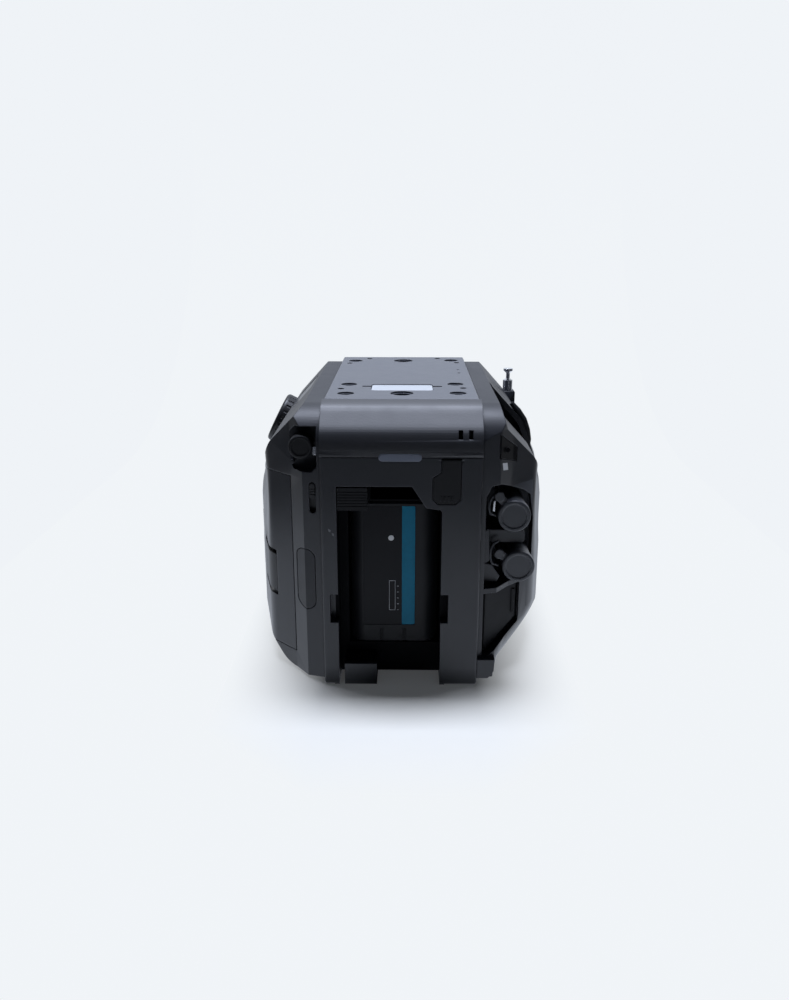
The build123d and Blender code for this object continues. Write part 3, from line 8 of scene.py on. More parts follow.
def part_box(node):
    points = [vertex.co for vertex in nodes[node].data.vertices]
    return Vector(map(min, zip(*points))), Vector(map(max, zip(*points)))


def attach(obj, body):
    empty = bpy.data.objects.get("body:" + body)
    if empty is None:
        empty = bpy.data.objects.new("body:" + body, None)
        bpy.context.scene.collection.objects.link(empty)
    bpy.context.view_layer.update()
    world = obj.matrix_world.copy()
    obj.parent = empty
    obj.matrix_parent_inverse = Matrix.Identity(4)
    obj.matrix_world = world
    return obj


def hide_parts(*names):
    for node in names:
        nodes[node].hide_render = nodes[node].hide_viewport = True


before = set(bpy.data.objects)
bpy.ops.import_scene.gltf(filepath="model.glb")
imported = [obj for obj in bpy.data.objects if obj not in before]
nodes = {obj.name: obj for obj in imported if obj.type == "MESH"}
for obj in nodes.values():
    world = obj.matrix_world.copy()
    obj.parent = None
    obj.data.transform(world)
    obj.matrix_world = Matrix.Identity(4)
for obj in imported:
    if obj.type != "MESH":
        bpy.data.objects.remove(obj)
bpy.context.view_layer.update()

# Viewpoint: the object is seen from straight behind its battery bay, from a hand above
# its top plate, looking down.
rear_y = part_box("rear_housing")[0].y
view_side = 0.0031
view_back = 0.361
view_height = 0.204
view_down = math.radians(17.5)
view_turn = math.radians(0.94)
film_width = 36.0
focal_length = 31.36
nearest_seen = 0.01
lens_data = bpy.data.cameras.new("viewpoint")
lens_data.sensor_width = film_width
lens_data.lens = focal_length
lens_data.clip_start = nearest_seen
viewpoint = bpy.data.objects.new("viewpoint", lens_data)
viewpoint.location = (view_side, rear_y - view_back, view_height)
viewpoint.rotation_euler = (math.radians(90.0) - view_down, 0.0, view_turn)
bpy.context.scene.collection.objects.link(viewpoint)
bpy.context.scene.camera = viewpoint
bpy.context.scene.view_settings.view_transform = "Standard"

# Paper sweep: the camera stands on a sheet of white studio paper over a table. It hangs
# down at the front edge, and rises behind the camera in one curve, seen as lit evenly.
sweep_half = 0.25
sweep_front = -0.34
sweep_lip = 0.02
sweep_drop = -0.6
sweep_start = 0.30
sweep_radius = 0.36
sweep_top = 1.05
sweep_steps = 16
profile = [
    (sweep_front, sweep_drop), (sweep_front, -sweep_lip),
    (sweep_front + 0.3 * sweep_lip, -0.3 * sweep_lip), (sweep_front + sweep_lip, 0.0),
    (sweep_start, 0.0),
]
for step in range(1, sweep_steps + 1):
    turn = math.radians(90.0) * step / sweep_steps
    profile.append((
        sweep_start + sweep_radius * math.sin(turn),
        sweep_radius * (1.0 - math.cos(turn)),
    ))
profile.append((sweep_start + sweep_radius, sweep_top))
sweep_points = [(side * sweep_half, y, z) for y, z in profile for side in (-1, 1)]
sweep_faces = [(2 * k, 2 * k + 1, 2 * k + 3, 2 * k + 2) for k in range(len(profile) - 1)]
sweep_mesh = bpy.data.meshes.new("paper_sweep")
sweep_mesh.from_pydata(sweep_points, [], sweep_faces)
for face in sweep_mesh.polygons:
    face.use_smooth = True
sweep = bpy.data.objects.new("paper_sweep", sweep_mesh)
bpy.context.scene.collection.objects.link(sweep)


class Feed:
    """An output of a finish's node; an expression on feeds adds the Math nodes for it."""

    def __init__(self, finish, socket):
        self.finish = finish
        self.socket = socket

    def maths(self, operation, *values):
        return self.finish.add("ShaderNodeMath", {"operation": operation}, values)

    def __add__(self, other):
        return self.maths("ADD", self, other)

    def __radd__(self, other):
        return self.maths("ADD", other, self)

    def __sub__(self, other):
        return self.maths("SUBTRACT", self, other)

    def __rsub__(self, other):
        return self.maths("SUBTRACT", other, self)

    def __mul__(self, other):
        return self.maths("MULTIPLY", self, other)

    def __rmul__(self, other):
        return self.maths("MULTIPLY", other, self)

    def __truediv__(self, other):
        return self.maths("DIVIDE", self, other)

    def __rtruediv__(self, other):
        return self.maths("DIVIDE", other, self)

    def __gt__(self, other):
        return self.maths("GREATER_THAN", self, other)

    def __lt__(self, other):
        return self.maths("LESS_THAN", self, other)

    def __mod__(self, other):
        return self.maths("MODULO", self, other)

    def __abs__(self):
        return self.maths("ABSOLUTE", self)

    def limit(self):
        """held between 0 and 1"""
        return self.finish.add("ShaderNodeClamp", {}, {"Value": self})

    def ramp(self, start, span):
        """0 up to the start, then rising to 1 over the span"""
        return ((self - start) / span).limit()


class Finish:
    """The node tree of one finish, of the paper or of the room light."""

    def __init__(self, owner):
        owner.use_nodes = True
        self.owner = owner
        self.tree = owner.node_tree
        self.tree.nodes.clear()

    def add(self, kind, settings=None, inputs=(), out=0):
        """any node: its type, its settings, the values or feeds of its sockets"""
        node = self.tree.nodes.new(kind)
        for key, value in (settings or {}).items():
            setattr(node, key, value)
        pairs = inputs.items() if isinstance(inputs, dict) else enumerate(inputs)
        for key, value in pairs:
            if isinstance(value, Feed):
                self.tree.links.new(value.socket, node.inputs[key])
            else:
                node.inputs[key].default_value = value
        return Feed(self, node.outputs[out]) if node.outputs else None

    def place(self):
        """position on the piece, in metres"""
        return self.add("ShaderNodeTexCoord", {}, {}, "Object")

    def axis(self, vector, letter):
        """one of a position's three measures"""
        return self.add("ShaderNodeSeparateXYZ", {}, [vector], letter)

    def mix(self, amount, low, high):
        """colour between two colours"""
        return self.add("ShaderNodeMix", {"data_type": "RGBA"}, {0: amount, 6: low, 7: high}, 2)

    def noise(self, vector, size, detail=2.0):
        """cloudy value with blobs about size metres wide"""
        return self.add(
            "ShaderNodeTexNoise", {}, {"Vector": vector, "Scale": 0.5 / size, "Detail": detail}
        )

    def stretched(self, vector, scale):
        """position with each direction scaled, so that noise on it is drawn out"""
        return self.add("ShaderNodeMapping", {}, {"Vector": vector, "Scale": scale})

    def out(self, shader):
        """the shader becomes what the surface shows"""
        self.add("ShaderNodeOutputMaterial", {}, {"Surface": shader})


paper = Finish(bpy.data.materials.new("paper"))
sweep_mesh.materials.append(paper.owner)
fibres = paper.noise(paper.place(), 0.004, 4.0)
paper_lit = paper.add("ShaderNodeBsdfDiffuse", {}, {
    "Color": paper.mix(fibres, (0.93, 0.915, 0.83, 1), (0.95, 0.935, 0.85, 1)),
})
shadow_side, shadow_side_fade = 0.035, 0.05
shadow_front, shadow_front_fade = 0.118, 0.045
shadow_back, shadow_back_fade = 0.12, 0.1
mirror_side, mirror_side_fade = 0.01, 0.03
shadow_lift = 0.04
paper_rise = 0.45
beside = abs(paper.axis(paper.place(), "X"))
inward = paper.axis(paper.place(), "Y")
in_front = (inward * -1.0).ramp(shadow_front, shadow_front_fade)
far_off = inward.ramp(shadow_back, shadow_back_fade)
beyond = (beside.ramp(shadow_side, shadow_side_fade) + in_front + far_off).limit()
mirror_beyond = (beside.ramp(mirror_side, mirror_side_fade) + in_front + far_off).limit()
rise = (paper.axis(paper.place(), "Z") / paper_rise).limit()
ray = paper.add("ShaderNodeLightPath", {}, {}, "Is Camera Ray")
mirrored = paper.add("ShaderNodeLightPath", {}, {}, "Is Glossy Ray")
paper_seen = paper.mix(rise, (0.875, 0.905, 0.935, 1), (0.862, 0.892, 0.928, 1))
paper_glow = paper.add("ShaderNodeEmission", {}, {
    "Color": paper.mix(mirrored, paper_seen, (0.78, 0.84, 0.95, 1)),
    "Strength": 1.0,
})
through = paper.add("ShaderNodeLightPath", {}, {}, "Is Transmission Ray")
glow = ((ray + through).limit() * (beyond + shadow_lift) + mirrored * mirror_beyond).limit()
paper.out(paper.add("ShaderNodeMixShader", {}, [glow, paper_lit, paper_glow]))


# Studio light: one long soft box hangs nearly overhead and a little behind, weaker
# boxes stand behind on the left and right, and the room is bright only at the back.
lamp_tint = (0.77, 0.83, 1.0)


def soft_box(name, place, aim, width, height, power):
    """area lamp aimed at a point, with its power in watts"""
    lamp_data = bpy.data.lights.new(name, "AREA")
    lamp_data.shape = "RECTANGLE"
    lamp_data.size = width
    lamp_data.size_y = height
    lamp_data.energy = power
    lamp_data.color = lamp_tint
    lamp = bpy.data.objects.new(name, lamp_data)
    lamp.location = place
    lamp.rotation_mode = "QUATERNION"
    lamp.rotation_quaternion = (Vector(aim) - Vector(place)).to_track_quat("-Z", "Y")
    bpy.context.scene.collection.objects.link(lamp)


soft_box("box_above", (0.0, 0.22, 1.5), (0.0, 0.0, 0.05), 0.9, 0.34, 29.0)
soft_box("box_left", (-1.0, 0.75, 0.8), (0.0, 0.0, 0.07), 0.5, 0.5, 0.4)
soft_box("box_right", (1.0, 0.75, 0.8), (0.0, 0.0, 0.07), 0.5, 0.5, 0.8)

room = bpy.data.worlds.new("room")
bpy.context.scene.world = room
sky = Finish(room)
room_slope, room_start = 1.3, 0.25
direction = sky.add("ShaderNodeTexCoord", {}, {}, "Generated")
behind = (sky.axis(direction, "Y") * room_slope - room_start).limit()
straight = sky.add("ShaderNodeLightPath", {}, {}, "Is Camera Ray")
in_metal = sky.add("ShaderNodeLightPath", {}, {}, "Is Glossy Ray")
in_glass = sky.add("ShaderNodeLightPath", {}, {}, "Is Transmission Ray")
pale = (straight + (in_metal + in_glass) * behind).limit()
dim_room = sky.mix(behind, (0.04, 0.044, 0.055, 1), (0.40, 0.42, 0.47, 1))
room_light = sky.add("ShaderNodeBackground", {}, {
    "Color": sky.mix(pale, dim_room, (0.865, 0.895, 0.93, 1)),
    "Strength": 1.0,
})
sky.add("ShaderNodeOutputWorld", {}, {"Surface": room_light})


# Chassis: the cast aluminium box inside the body that everything is screwed to. It is
# blasted after casting, which leaves it dull and slightly mottled.
edge_gain = 3.0


def soft_edge(finish, radius):
    """normal rounded over the edges, and how much of an edge each place is"""
    rounded = finish.add("ShaderNodeBevel", {"samples": 4}, {"Radius": radius})
    flat = finish.add("ShaderNodeNewGeometry", {}, {}, "Normal")
    same = finish.add("ShaderNodeVectorMath", {"operation": "DOT_PRODUCT"}, [rounded, flat], 1)
    return rounded, ((1 - same) * edge_gain).limit()


def bumped(finish, height, depth, normal):
    """normal with fine relief of a depth in metres"""
    return finish.add("ShaderNodeBump", {}, {
        "Strength": 1.0, "Distance": depth, "Height": height, "Normal": normal,
    })


def bare_metal(name, dark, light, rough, grain_size, grain_depth, radius, stretch=(1, 1, 1)):
    """bare metal: blotches, fine grain, smoother edges painted brighter as wear and as a painted
    highlight
    """
    finish = Finish(bpy.data.materials.new(name))
    here = finish.place()
    rounded, rim = soft_edge(finish, radius)
    cloud = finish.noise(here, 0.008, 4.0)
    grain = finish.noise(finish.stretched(here, stretch), grain_size, 3.0)
    tone = finish.mix((cloud + grain) / 2, (*dark, 1), (*light, 1))
    shader = finish.add("ShaderNodeBsdfPrincipled", {}, {
        # edges painted lighter: partly wear, partly a painted highlight
        "Base Color": finish.mix(rim * 0.5, tone, (*light, 1)),
        "Metallic": 1.0,
        "Roughness": rough + (cloud - 0.5) * 0.2 - rim * 0.1,
        "Normal": bumped(finish, grain, grain_depth, rounded),
    })
    finish.out(shader)
    return finish


def wear(finish, *names):
    """puts a finish on whole nodes"""
    for name in names:
        mesh = nodes[name].data
        if not mesh.materials:
            mesh.materials.append(None)
        for slot in range(len(mesh.materials)):
            mesh.materials[slot] = finish.owner


cast_metal = bare_metal(
    "cast_metal", (0.42, 0.43, 0.44), (0.52, 0.53, 0.54), 0.5, 0.0004, 0.00004, 0.0004
)
wear(cast_metal, "chassis")


# Front panel: a machined plate around the lens mount, in the same fine dark grey powder
# coat as the housings. Its edges are painted lighter, partly as wear from handling and
# partly as a painted highlight.
cloud_size, rub_size = 0.02, 0.003
handled_from, handled_span = 0.094, 0.012


def coat(finish, dark, light, edge, rough, grain_size, grain_depth, radius, gloss, dulled=0.0):
    """paint, moulded plastic or rubber: cloudy colour, fine grain, edges painted brighter as
    wear and as a painted highlight
    """
    here = finish.place()
    handled = finish.axis(here, "Z").ramp(handled_from, handled_span)
    rounded, rim = soft_edge(finish, radius)
    cloud = finish.noise(here, cloud_size, 3.0)
    rubs = finish.noise(here, rub_size, 3.0)
    grain = finish.noise(here, grain_size, 3.0)
    # lighter edge colour: partly wear, partly a painted highlight where light catches the edges
    edge_wear_and_highlight = (rim * (0.3 + rubs * 0.7)).limit()
    tone = finish.mix((cloud + (grain - 0.5) * 0.6).limit(), (*dark, 1), (*light, 1))
    dull = handled * dulled + rough + (cloud - 0.5) * 0.12 + (rubs - 0.5) * 0.06
    return finish.add("ShaderNodeBsdfPrincipled", {}, {
        "Base Color": finish.mix(edge_wear_and_highlight, tone, (*edge, 1)),
        "Roughness": dull - edge_wear_and_highlight * 0.08,
        "Specular IOR Level": gloss,
        "Normal": bumped(finish, grain, grain_depth, rounded),
    })


def coated(name, *look):
    """finish of one coat only"""
    finish = Finish(bpy.data.materials.new(name))
    finish.out(coat(finish, *look))
    return finish


# the third colour is painted on the edges: wear and a painted highlight
shell_look = (
    (0.009, 0.0108, 0.0160), (0.0122, 0.0143, 0.0205), (0.065, 0.071, 0.086),
    0.34, 0.00035, 0.00002, 0.0006, 0.52, 0.17,
)
shell_paint = coated("shell_paint", *shell_look)
wear(shell_paint, "front_panel")

# Lens release button: a black spark-eroded plastic cap on a sprung stem. The same
# plastic is used for the other small controls.
dark_plastic = coated(
    "dark_plastic", (0.009, 0.0095, 0.011), (0.013, 0.0135, 0.0155), (0.045, 0.047, 0.053),
    0.42, 0.0003, 0.00002, 0.0003, 0.45,
)
wear(dark_plastic, "lens_release_button")

# Lens mount: a turned and lapped steel ring with three bayonet lugs, held by six slotted
# screws. A dot of red enamel on its face shows where the lens goes in.
steel = bare_metal(
    "steel", (0.50, 0.51, 0.53), (0.62, 0.63, 0.65), 0.28, 0.0003, 0.00001, 0.0003
)
wear(steel, "lens_mount_ring", "mount_screws")
mm = 0.001


def turned(name, start, along, steps, finish, body, sides=32):
    """piece turned on a lathe: steps are (distance, radius) pairs along its axis"""
    along = Vector(along).normalized()
    across = along.orthogonal().normalized()
    upward = along.cross(across)
    points = []
    for run, radius in steps:
        centre = Vector(start) * mm + along * (run * mm)
        for k in range(sides):
            turn = 2 * math.pi * k / sides
            swing = across * math.cos(turn) + upward * math.sin(turn)
            points.append(centre + swing * (max(radius, 0.01) * mm))
    rings = len(steps)
    faces = [
        (r * sides + k, r * sides + (k + 1) % sides,
         (r + 1) * sides + (k + 1) % sides, (r + 1) * sides + k)
        for r in range(rings - 1) for k in range(sides)
    ]
    faces.append(tuple(reversed(range(sides))))
    faces.append(tuple(range((rings - 1) * sides, rings * sides)))
    return made(name, points, faces, finish, body)


def made(name, points, faces, finish, body):
    """piece from points and faces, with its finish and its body"""
    mesh = bpy.data.meshes.new(name)
    mesh.from_pydata(points, [], faces)
    mesh.validate()
    mesh.materials.append(finish.owner)
    mesh.update()
    piece = bpy.data.objects.new(name, mesh)
    bpy.context.scene.collection.objects.link(piece)
    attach(piece, body)
    return piece


red_plastic = coated(
    "red_plastic", (0.32, 0.012, 0.012), (0.42, 0.018, 0.018), (0.55, 0.06, 0.05),
    0.38, 0.0003, 0.00001, 0.0004, 0.5,
)
ring_low, ring_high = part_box("lens_mount_ring")
flange_y = ring_high.y / mm
optic_z = (ring_low.z + ring_high.z) / 2 / mm
index_turn = math.radians(112.0)
index_r = 27.5
index_sunk = 0.2
index_steps = [(0, 1.1), (0.24, 1.1), (0.3, 0.9), (0.32, 0.4)]
index_x = index_r * math.cos(index_turn)
index_z = optic_z + index_r * math.sin(index_turn)
turned(
    "mount_index", (index_x, flange_y - index_sunk, index_z), (0, 1, 0), index_steps,
    red_plastic, "body", 24,
)

# Lens contacts: nine gold plated pins stand in a black moulded block at the bottom of
# the mount, and press against the lens.
wear(dark_plastic, "mount_contacts")
gold = bare_metal(
    "gold", (0.80, 0.56, 0.22), (0.92, 0.68, 0.32), 0.22, 0.0003, 0.000003, 0.0001
)
contact_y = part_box("mount_contacts")[1].y / mm
contact_r = 20.4
contact_sunk = 0.3
contact_count = 9
contact_first, contact_spread = 249.0, 42.0
contact_steps = [(0, 0.55), (0.35, 0.55), (0.55, 0.38), (0.62, 0.15)]
for k in range(contact_count):
    turn = math.radians(contact_first + contact_spread * k / (contact_count - 1))
    pin_x = contact_r * math.cos(turn)
    pin_z = optic_z + contact_r * math.sin(turn)
    turned(
        "contact_pin_" + str(k + 1), (pin_x, contact_y - contact_sunk, pin_z), (0, 1, 0),
        contact_steps, gold, "body", 16,
    )

# Filter wheel: a stamped aluminium disc with a clear opening and three grey glasses of
# different strength, each with a coating that reflects a little blue.
wear(cast_metal, "nd_wheel")
filter_glass = Finish(bpy.data.materials.new("filter_glass"))
coating = filter_glass.noise(filter_glass.place(), 0.01, 1.0)
filter_glass.out(filter_glass.add("ShaderNodeBsdfPrincipled", {}, {
    "Base Color": filter_glass.mix(coating, (0.05, 0.055, 0.065, 1), (0.07, 0.07, 0.085, 1)),
    "Roughness": 0.05 + coating * 0.03,
    "Coat Weight": 1.0,
    "Alpha": 0.72,
}))
wear(filter_glass, "nd_filters")

# Image sensor: a ceramic package in an aluminium carrier, its dark green silicon under
# a glass lid.
wear(cast_metal, "sensor_carrier")
sensor_face = coated(
    "sensor_face", (0.012, 0.02, 0.024), (0.02, 0.032, 0.034), (0.05, 0.06, 0.06),
    0.1, 0.003, 0.000002, 0.0003, 0.6,
)
wear(sensor_face, "image_sensor")

# Main board: a green circuit board of glass cloth and resin, with its black packages
# soldered on. It is screwed to posts inside the chassis.
circuit_board = coated(
    "circuit_board", (0.008, 0.06, 0.03), (0.012, 0.085, 0.045), (0.25, 0.2, 0.09),
    0.35, 0.0012, 0.00002, 0.0003, 0.5,
)
wear(circuit_board, "main_board")

# Cooling: a finned aluminium sink on the chassis wall, and a black plastic fan beside
# it that blows through the slots of the right housing. Its hub has a foil cap.
wear(cast_metal, "heat_sink")
wear(dark_plastic, "fan_frame", "fan_rotor")
rotor_low, rotor_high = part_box("fan_rotor")
hub_y = (rotor_low.y + rotor_high.y) / 2 / mm
hub_z = (rotor_low.z + rotor_high.z) / 2 / mm
hub_sunk = 0.1
hub_steps = [(0, 6.2), (0.25, 6.0), (0.35, 5.4)]
hub_foil = bare_metal(
    "hub_foil", (0.60, 0.61, 0.63), (0.70, 0.71, 0.73), 0.35, 0.0004, 0.000004, 0.0002
)
turned(
    "fan_hub_cap", (rotor_high.x / mm - hub_sunk, hub_y, hub_z), (1, 0, 0), hub_steps,
    hub_foil, "fan_rotor", 40,
)

# Rear housing: a magnesium casting under the same powder coat, with the deep battery
# bay. Inside the bay the coat turns near black, and it darkens towards the floor: both are
# painted shade. Two small dabs of paint beside the bay mark where the pack locks.
bay_left, bay_right = -30.0, 27.0
bay_shade_start, bay_shade_fade = 1.2, 2.5
foot_shadow_top, foot_shadow_fade, foot_shadow_strength = 9.0, 7.0, 0.6
bay_paint_and_shade = Finish(bpy.data.materials.new("bay_paint_and_shade"))
bay_back = bay_paint_and_shade.axis(bay_paint_and_shade.place(), "Y") / mm - rear_y / mm
bay_side = bay_paint_and_shade.axis(bay_paint_and_shade.place(), "X") / mm
bay_up = bay_paint_and_shade.axis(bay_paint_and_shade.place(), "Z") / mm
# painted shade, deeper inside the bay
bay_painted_shade = bay_back.ramp(bay_shade_start, bay_shade_fade) * (bay_side > bay_left) * (bay_side < bay_right)
# painted shadow darkening the bottom of the housing near the floor
foot_painted_shadow = ((foot_shadow_top - bay_up) / foot_shadow_fade).limit() * foot_shadow_strength
# near black colour of the painted shade
painted_shade_black = bay_paint_and_shade.add("ShaderNodeBsdfPrincipled", {}, {
    "Base Color": (0.0022, 0.0026, 0.0040, 1), "Roughness": 0.6, "Specular IOR Level": 0.08,
})
bay_paint_and_shade.out(bay_paint_and_shade.add("ShaderNodeMixShader", {}, [
    (bay_painted_shade + foot_painted_shadow).limit(), coat(bay_paint_and_shade, *shell_look), painted_shade_black
]))
wear(bay_paint_and_shade, "rear_housing")


def prism(name, outline, shift, finish, body):
    """closed piece between an outline in space and the same outline moved by a shift"""
    near = [Vector(p) for p in outline]
    far = [p + Vector(shift) for p in near]
    count = len(near)
    faces = [tuple(range(count)), tuple(reversed(range(count, 2 * count)))]
    faces += [(k, k + count, (k + 1) % count + count, (k + 1) % count) for k in range(count)]
    return made(name, near + far, faces, finish, body)


film_sunk = 0.05
film_drop = 0.02


def laid_on(name, onto, outline, raised, finish, body):
    """film of ink or foil dropped from behind on a facet of a piece"""
    spots = [corner.co for corner in onto.data.vertices]
    surface = BVHTree.FromPolygons(spots, [face.vertices for face in onto.data.polygons])
    drops = [
        surface.ray_cast(Vector((x * mm, rear_y - film_drop, z * mm)), Vector((0, 1, 0)))
        for x, z in outline
    ]
    lift = drops[0][1]
    low = [drop[0] - lift * (film_sunk * mm) for drop in drops]
    return prism(name, low, lift * ((film_sunk + raised) * mm), finish, body)


dab_ink = coated(
    "dab_ink", (0.12, 0.125, 0.14), (0.17, 0.175, 0.19), (0.22, 0.225, 0.24),
    0.55, 0.0003, 0.000004, 0.0001, 0.3,
)
dab_t = 0.04
for number, dab in enumerate((
    [(-32.1, 76.8), (-31.9, 75.5), (-31.1, 75.0), (-30.9, 76.2)],
    [(-30.5, 74.9), (-30.3, 73.6), (-29.6, 73.2), (-29.5, 74.4)],
)):
    laid_on(
        "paint_dab_" + str(number + 1), nodes["rear_housing"], dab, dab_t, dab_ink,
        "body",
    )

# Battery terminal: a black moulded block at the end of the bay, with five gold plated
# blades standing in its slots.
wear(dark_plastic, "battery_terminal")
block_low, block_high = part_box("battery_terminal")
blade_count = 5
blade_t = 0.35 * mm
blade_first, blade_pitch = 2.2 * mm, 2.4 * mm
blade_bevel = 0.4 * mm
blade_left, blade_right = block_low.x + 2.1 * mm, block_high.x - 2.1 * mm
blade_tip, blade_root = block_low.y + 0.3 * mm, block_low.y + 2.7 * mm
for k in range(blade_count):
    blade_z = block_low.z + blade_first + blade_pitch * k - blade_t / 2
    prism(
        "terminal_blade_" + str(k + 1),
        [
            (blade_left, blade_tip + blade_bevel, blade_z),
            (blade_left + blade_bevel, blade_tip, blade_z),
            (blade_right - blade_bevel, blade_tip, blade_z),
            (blade_right, blade_tip + blade_bevel, blade_z),
            (blade_right, blade_root, blade_z),
            (blade_left, blade_root, blade_z),
        ],
        (0, 0, blade_t), gold, "body",
    )

# Battery pack: two half shells of black plastic welded together round the cells. The
# mould leaves a fine even grain.
battery_plastic = coated(
    "battery_plastic", (0.0075, 0.0085, 0.011), (0.0105, 0.0115, 0.0145), (0.03, 0.032, 0.038),
    0.50, 0.0004, 0.00003, 0.0007, 0.3,
)
wear(battery_plastic, "battery_pack")

# Battery label: a dark satin film on the face of the pack, printed with a teal bar on
# its right, a white dot near its top and a thin bracket with ticks beside the bar.
label_print = Finish(bpy.data.materials.new("label_print"))
label_x = label_print.axis(label_print.place(), "X") / mm
label_z = label_print.axis(label_print.place(), "Z") / mm


def between(value, low, high):
    """1 from low to high, 0 elsewhere"""
    return (value > low) * (value < high)


def line_box(across, up, left, right, low, high, width):
    """thin printed outline of a box"""
    outer = between(across, left, right) * between(up, low, high)
    inner = between(across, left + width, right - width) * between(up, low + width, high - width)
    return outer - inner


bar_left, bar_right = 0.4, 6.7
dot_x, dot_z, dot_r = -4.6, 67.5, 1.3
bracket_left, bracket_right, bracket_low, bracket_high = -5.6, -2.6, 31.5, 46.5
bracket_line = 0.28
tick_left, tick_right, tick_pitch, tick_line = -1.9, -1.1, 3.0, 0.36
bar = between(label_x, bar_left, bar_right)
dot_across = label_x - dot_x
dot_up = label_z - dot_z
dot = (dot_across * dot_across + dot_up * dot_up) < dot_r * dot_r
brackets = line_box(
    label_x, label_z, bracket_left, bracket_right, bracket_low, bracket_high, bracket_line
)
tick_rows = ((label_z - bracket_low) % tick_pitch) < tick_line
ticks = between(label_x, tick_left, tick_right) * between(label_z, bracket_low, bracket_high)
ticks *= tick_rows
film_cloud = label_print.noise(label_print.place(), 0.01, 3.0)
bar_cloud = label_print.noise(label_print.place(), 0.0012, 2.0)
film = label_print.mix(film_cloud, (0.004, 0.0045, 0.007, 1), (0.0055, 0.006, 0.009, 1))
bar_tone = label_print.mix(bar_cloud, (0.002, 0.15, 0.26, 1), (0.003, 0.19, 0.33, 1))
film = label_print.mix(bar, film, bar_tone)
film = label_print.mix((brackets + ticks).limit() * 0.6, film, (0.5, 0.52, 0.55, 1))
film = label_print.mix(dot, film, (0.66, 0.68, 0.70, 1))
label_print.out(label_print.add("ShaderNodeBsdfPrincipled", {}, {
    "Base Color": film, "Roughness": 0.36 + film_cloud * 0.08,
    "Specular IOR Level": 0.18,
}))
wear(label_print, "battery_label")

# Battery release button: a slab of black plastic above the bay, moulded with grip ribs.
# It slides in guides of the rear housing, against a spring.
button_plastic = coated(
    "button_plastic", (0.0050, 0.0056, 0.0075), (0.0066, 0.0072, 0.0092), (0.017, 0.019, 0.023),
    0.5, 0.0003, 0.00002, 0.0002, 0.25,
)
wear(button_plastic, "battery_release_button")

# Power inlet: a four pin socket in the rear wall, closed by a moulded rubber cover that
# turns on its narrow neck.
wear(dark_plastic, "dc_in_socket")
rubber = coated(
    "rubber", (0.0085, 0.009, 0.011), (0.012, 0.0125, 0.0145), (0.035, 0.037, 0.042),
    0.60, 0.00025, 0.00003, 0.0004, 0.3,
)
wear(rubber, "dc_in_cover")

# Tally lamp: a frosted polycarbonate bar set flush across the seam of the rear wall, and
# held by its ends. It is off, so it only shows a pale grey.
lamp_lens = coated(
    "lamp_lens", (0.15, 0.17, 0.22), (0.18, 0.20, 0.26), (0.26, 0.28, 0.34),
    0.30, 0.0004, 0.00001, 0.0004, 0.5,
)
wear(lamp_lens, "tally_lamp")

# Rear top cover: a curved sheet casting with two sound slots, clipped over the end of
# the top plate.
cover_paint = coated(
    "cover_paint", (0.010, 0.012, 0.0172), (0.0135, 0.0155, 0.0218), (0.065, 0.071, 0.086),
    0.55, 0.00035, 0.00003, 0.00045, 1.0,
)
cover_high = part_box("rear_top_cover")[1]
curve_r = 20.2 * mm
curve_centre = (rear_y + curve_r, cover_high.z - curve_r)
facet_turn = math.radians(42.0)
facet_reach = 0.955
facet_blend = 0.035
cover_crease = 28.0
weld_gap = 1e-6


def facet_curve(point):
    """point of the round edge, pressed in to a flat slope with soft ends"""
    across = curve_centre[0] - point.y
    upward = point.z - curve_centre[1]
    if across <= 0.0 or upward <= 0.0:
        return point
    flat = facet_reach / math.cos(math.atan2(across, upward) - facet_turn)
    blend = max(facet_blend - abs(flat - 1.0), 0.0) / facet_blend
    share = min(flat, 1.0) - blend * blend * facet_blend / 4
    return Vector((point.x, curve_centre[0] - across * share, curve_centre[1] + upward * share))


def recast(name, node, finish, body, crease, cuts, move):
    """copy of a node's mesh, cut along planes, its points moved, its low creases smoothed"""
    cast = bmesh.new()
    cast.from_mesh(nodes[node].data)
    bmesh.ops.remove_doubles(cast, verts=cast.verts, dist=weld_gap)
    for on_plane, normal in cuts:
        parts = cast.verts[:] + cast.edges[:] + cast.faces[:]
        bmesh.ops.bisect_plane(cast, geom=parts, plane_co=on_plane, plane_no=normal)
    for point in cast.verts:
        point.co = move(point.co)
    for face in cast.faces:
        face.smooth = True
        face.material_index = 0
    mesh = bpy.data.meshes.new(name)
    cast.to_mesh(mesh)
    cast.free()
    mesh.set_sharp_from_angle(angle=math.radians(crease))
    mesh.materials.append(finish.owner)
    piece = bpy.data.objects.new(name, mesh)
    bpy.context.scene.collection.objects.link(piece)
    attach(piece, body)
    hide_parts(node)
    return piece


recast(
    "curved_cover", "rear_top_cover", cover_paint, "body", cover_crease, [],
    facet_curve,
)

# Top plate: machined aluminium with tapped holes, coarsely blasted and then coated in a
# satin grey that catches the light more than the housings do.
plate_paint = coated(
    "plate_paint", (0.078, 0.084, 0.10), (0.10, 0.107, 0.125), (0.17, 0.178, 0.20),
    0.42, 0.0005, 0.00006, 0.0004, 0.7,
)
wear(plate_paint, "top_plate")

# Blank label: a silver film brushed along its length, glued into the shallow recess of
# the top plate. Nothing is printed on it.
label_silver = Finish(bpy.data.materials.new("label_silver"))
brush = label_silver.noise(
    label_silver.stretched(label_silver.place(), (0.04, 1.0, 1.0)), 0.0004, 3.0
)
label_silver.out(label_silver.add("ShaderNodeBsdfPrincipled", {}, {
    "Base Color": label_silver.mix(brush, (0.52, 0.55, 0.58, 1), (0.62, 0.65, 0.68, 1)),
    "Metallic": 0.25,
    "Roughness": 0.34 + brush * 0.1,
}))
wear(label_silver, "top_label")

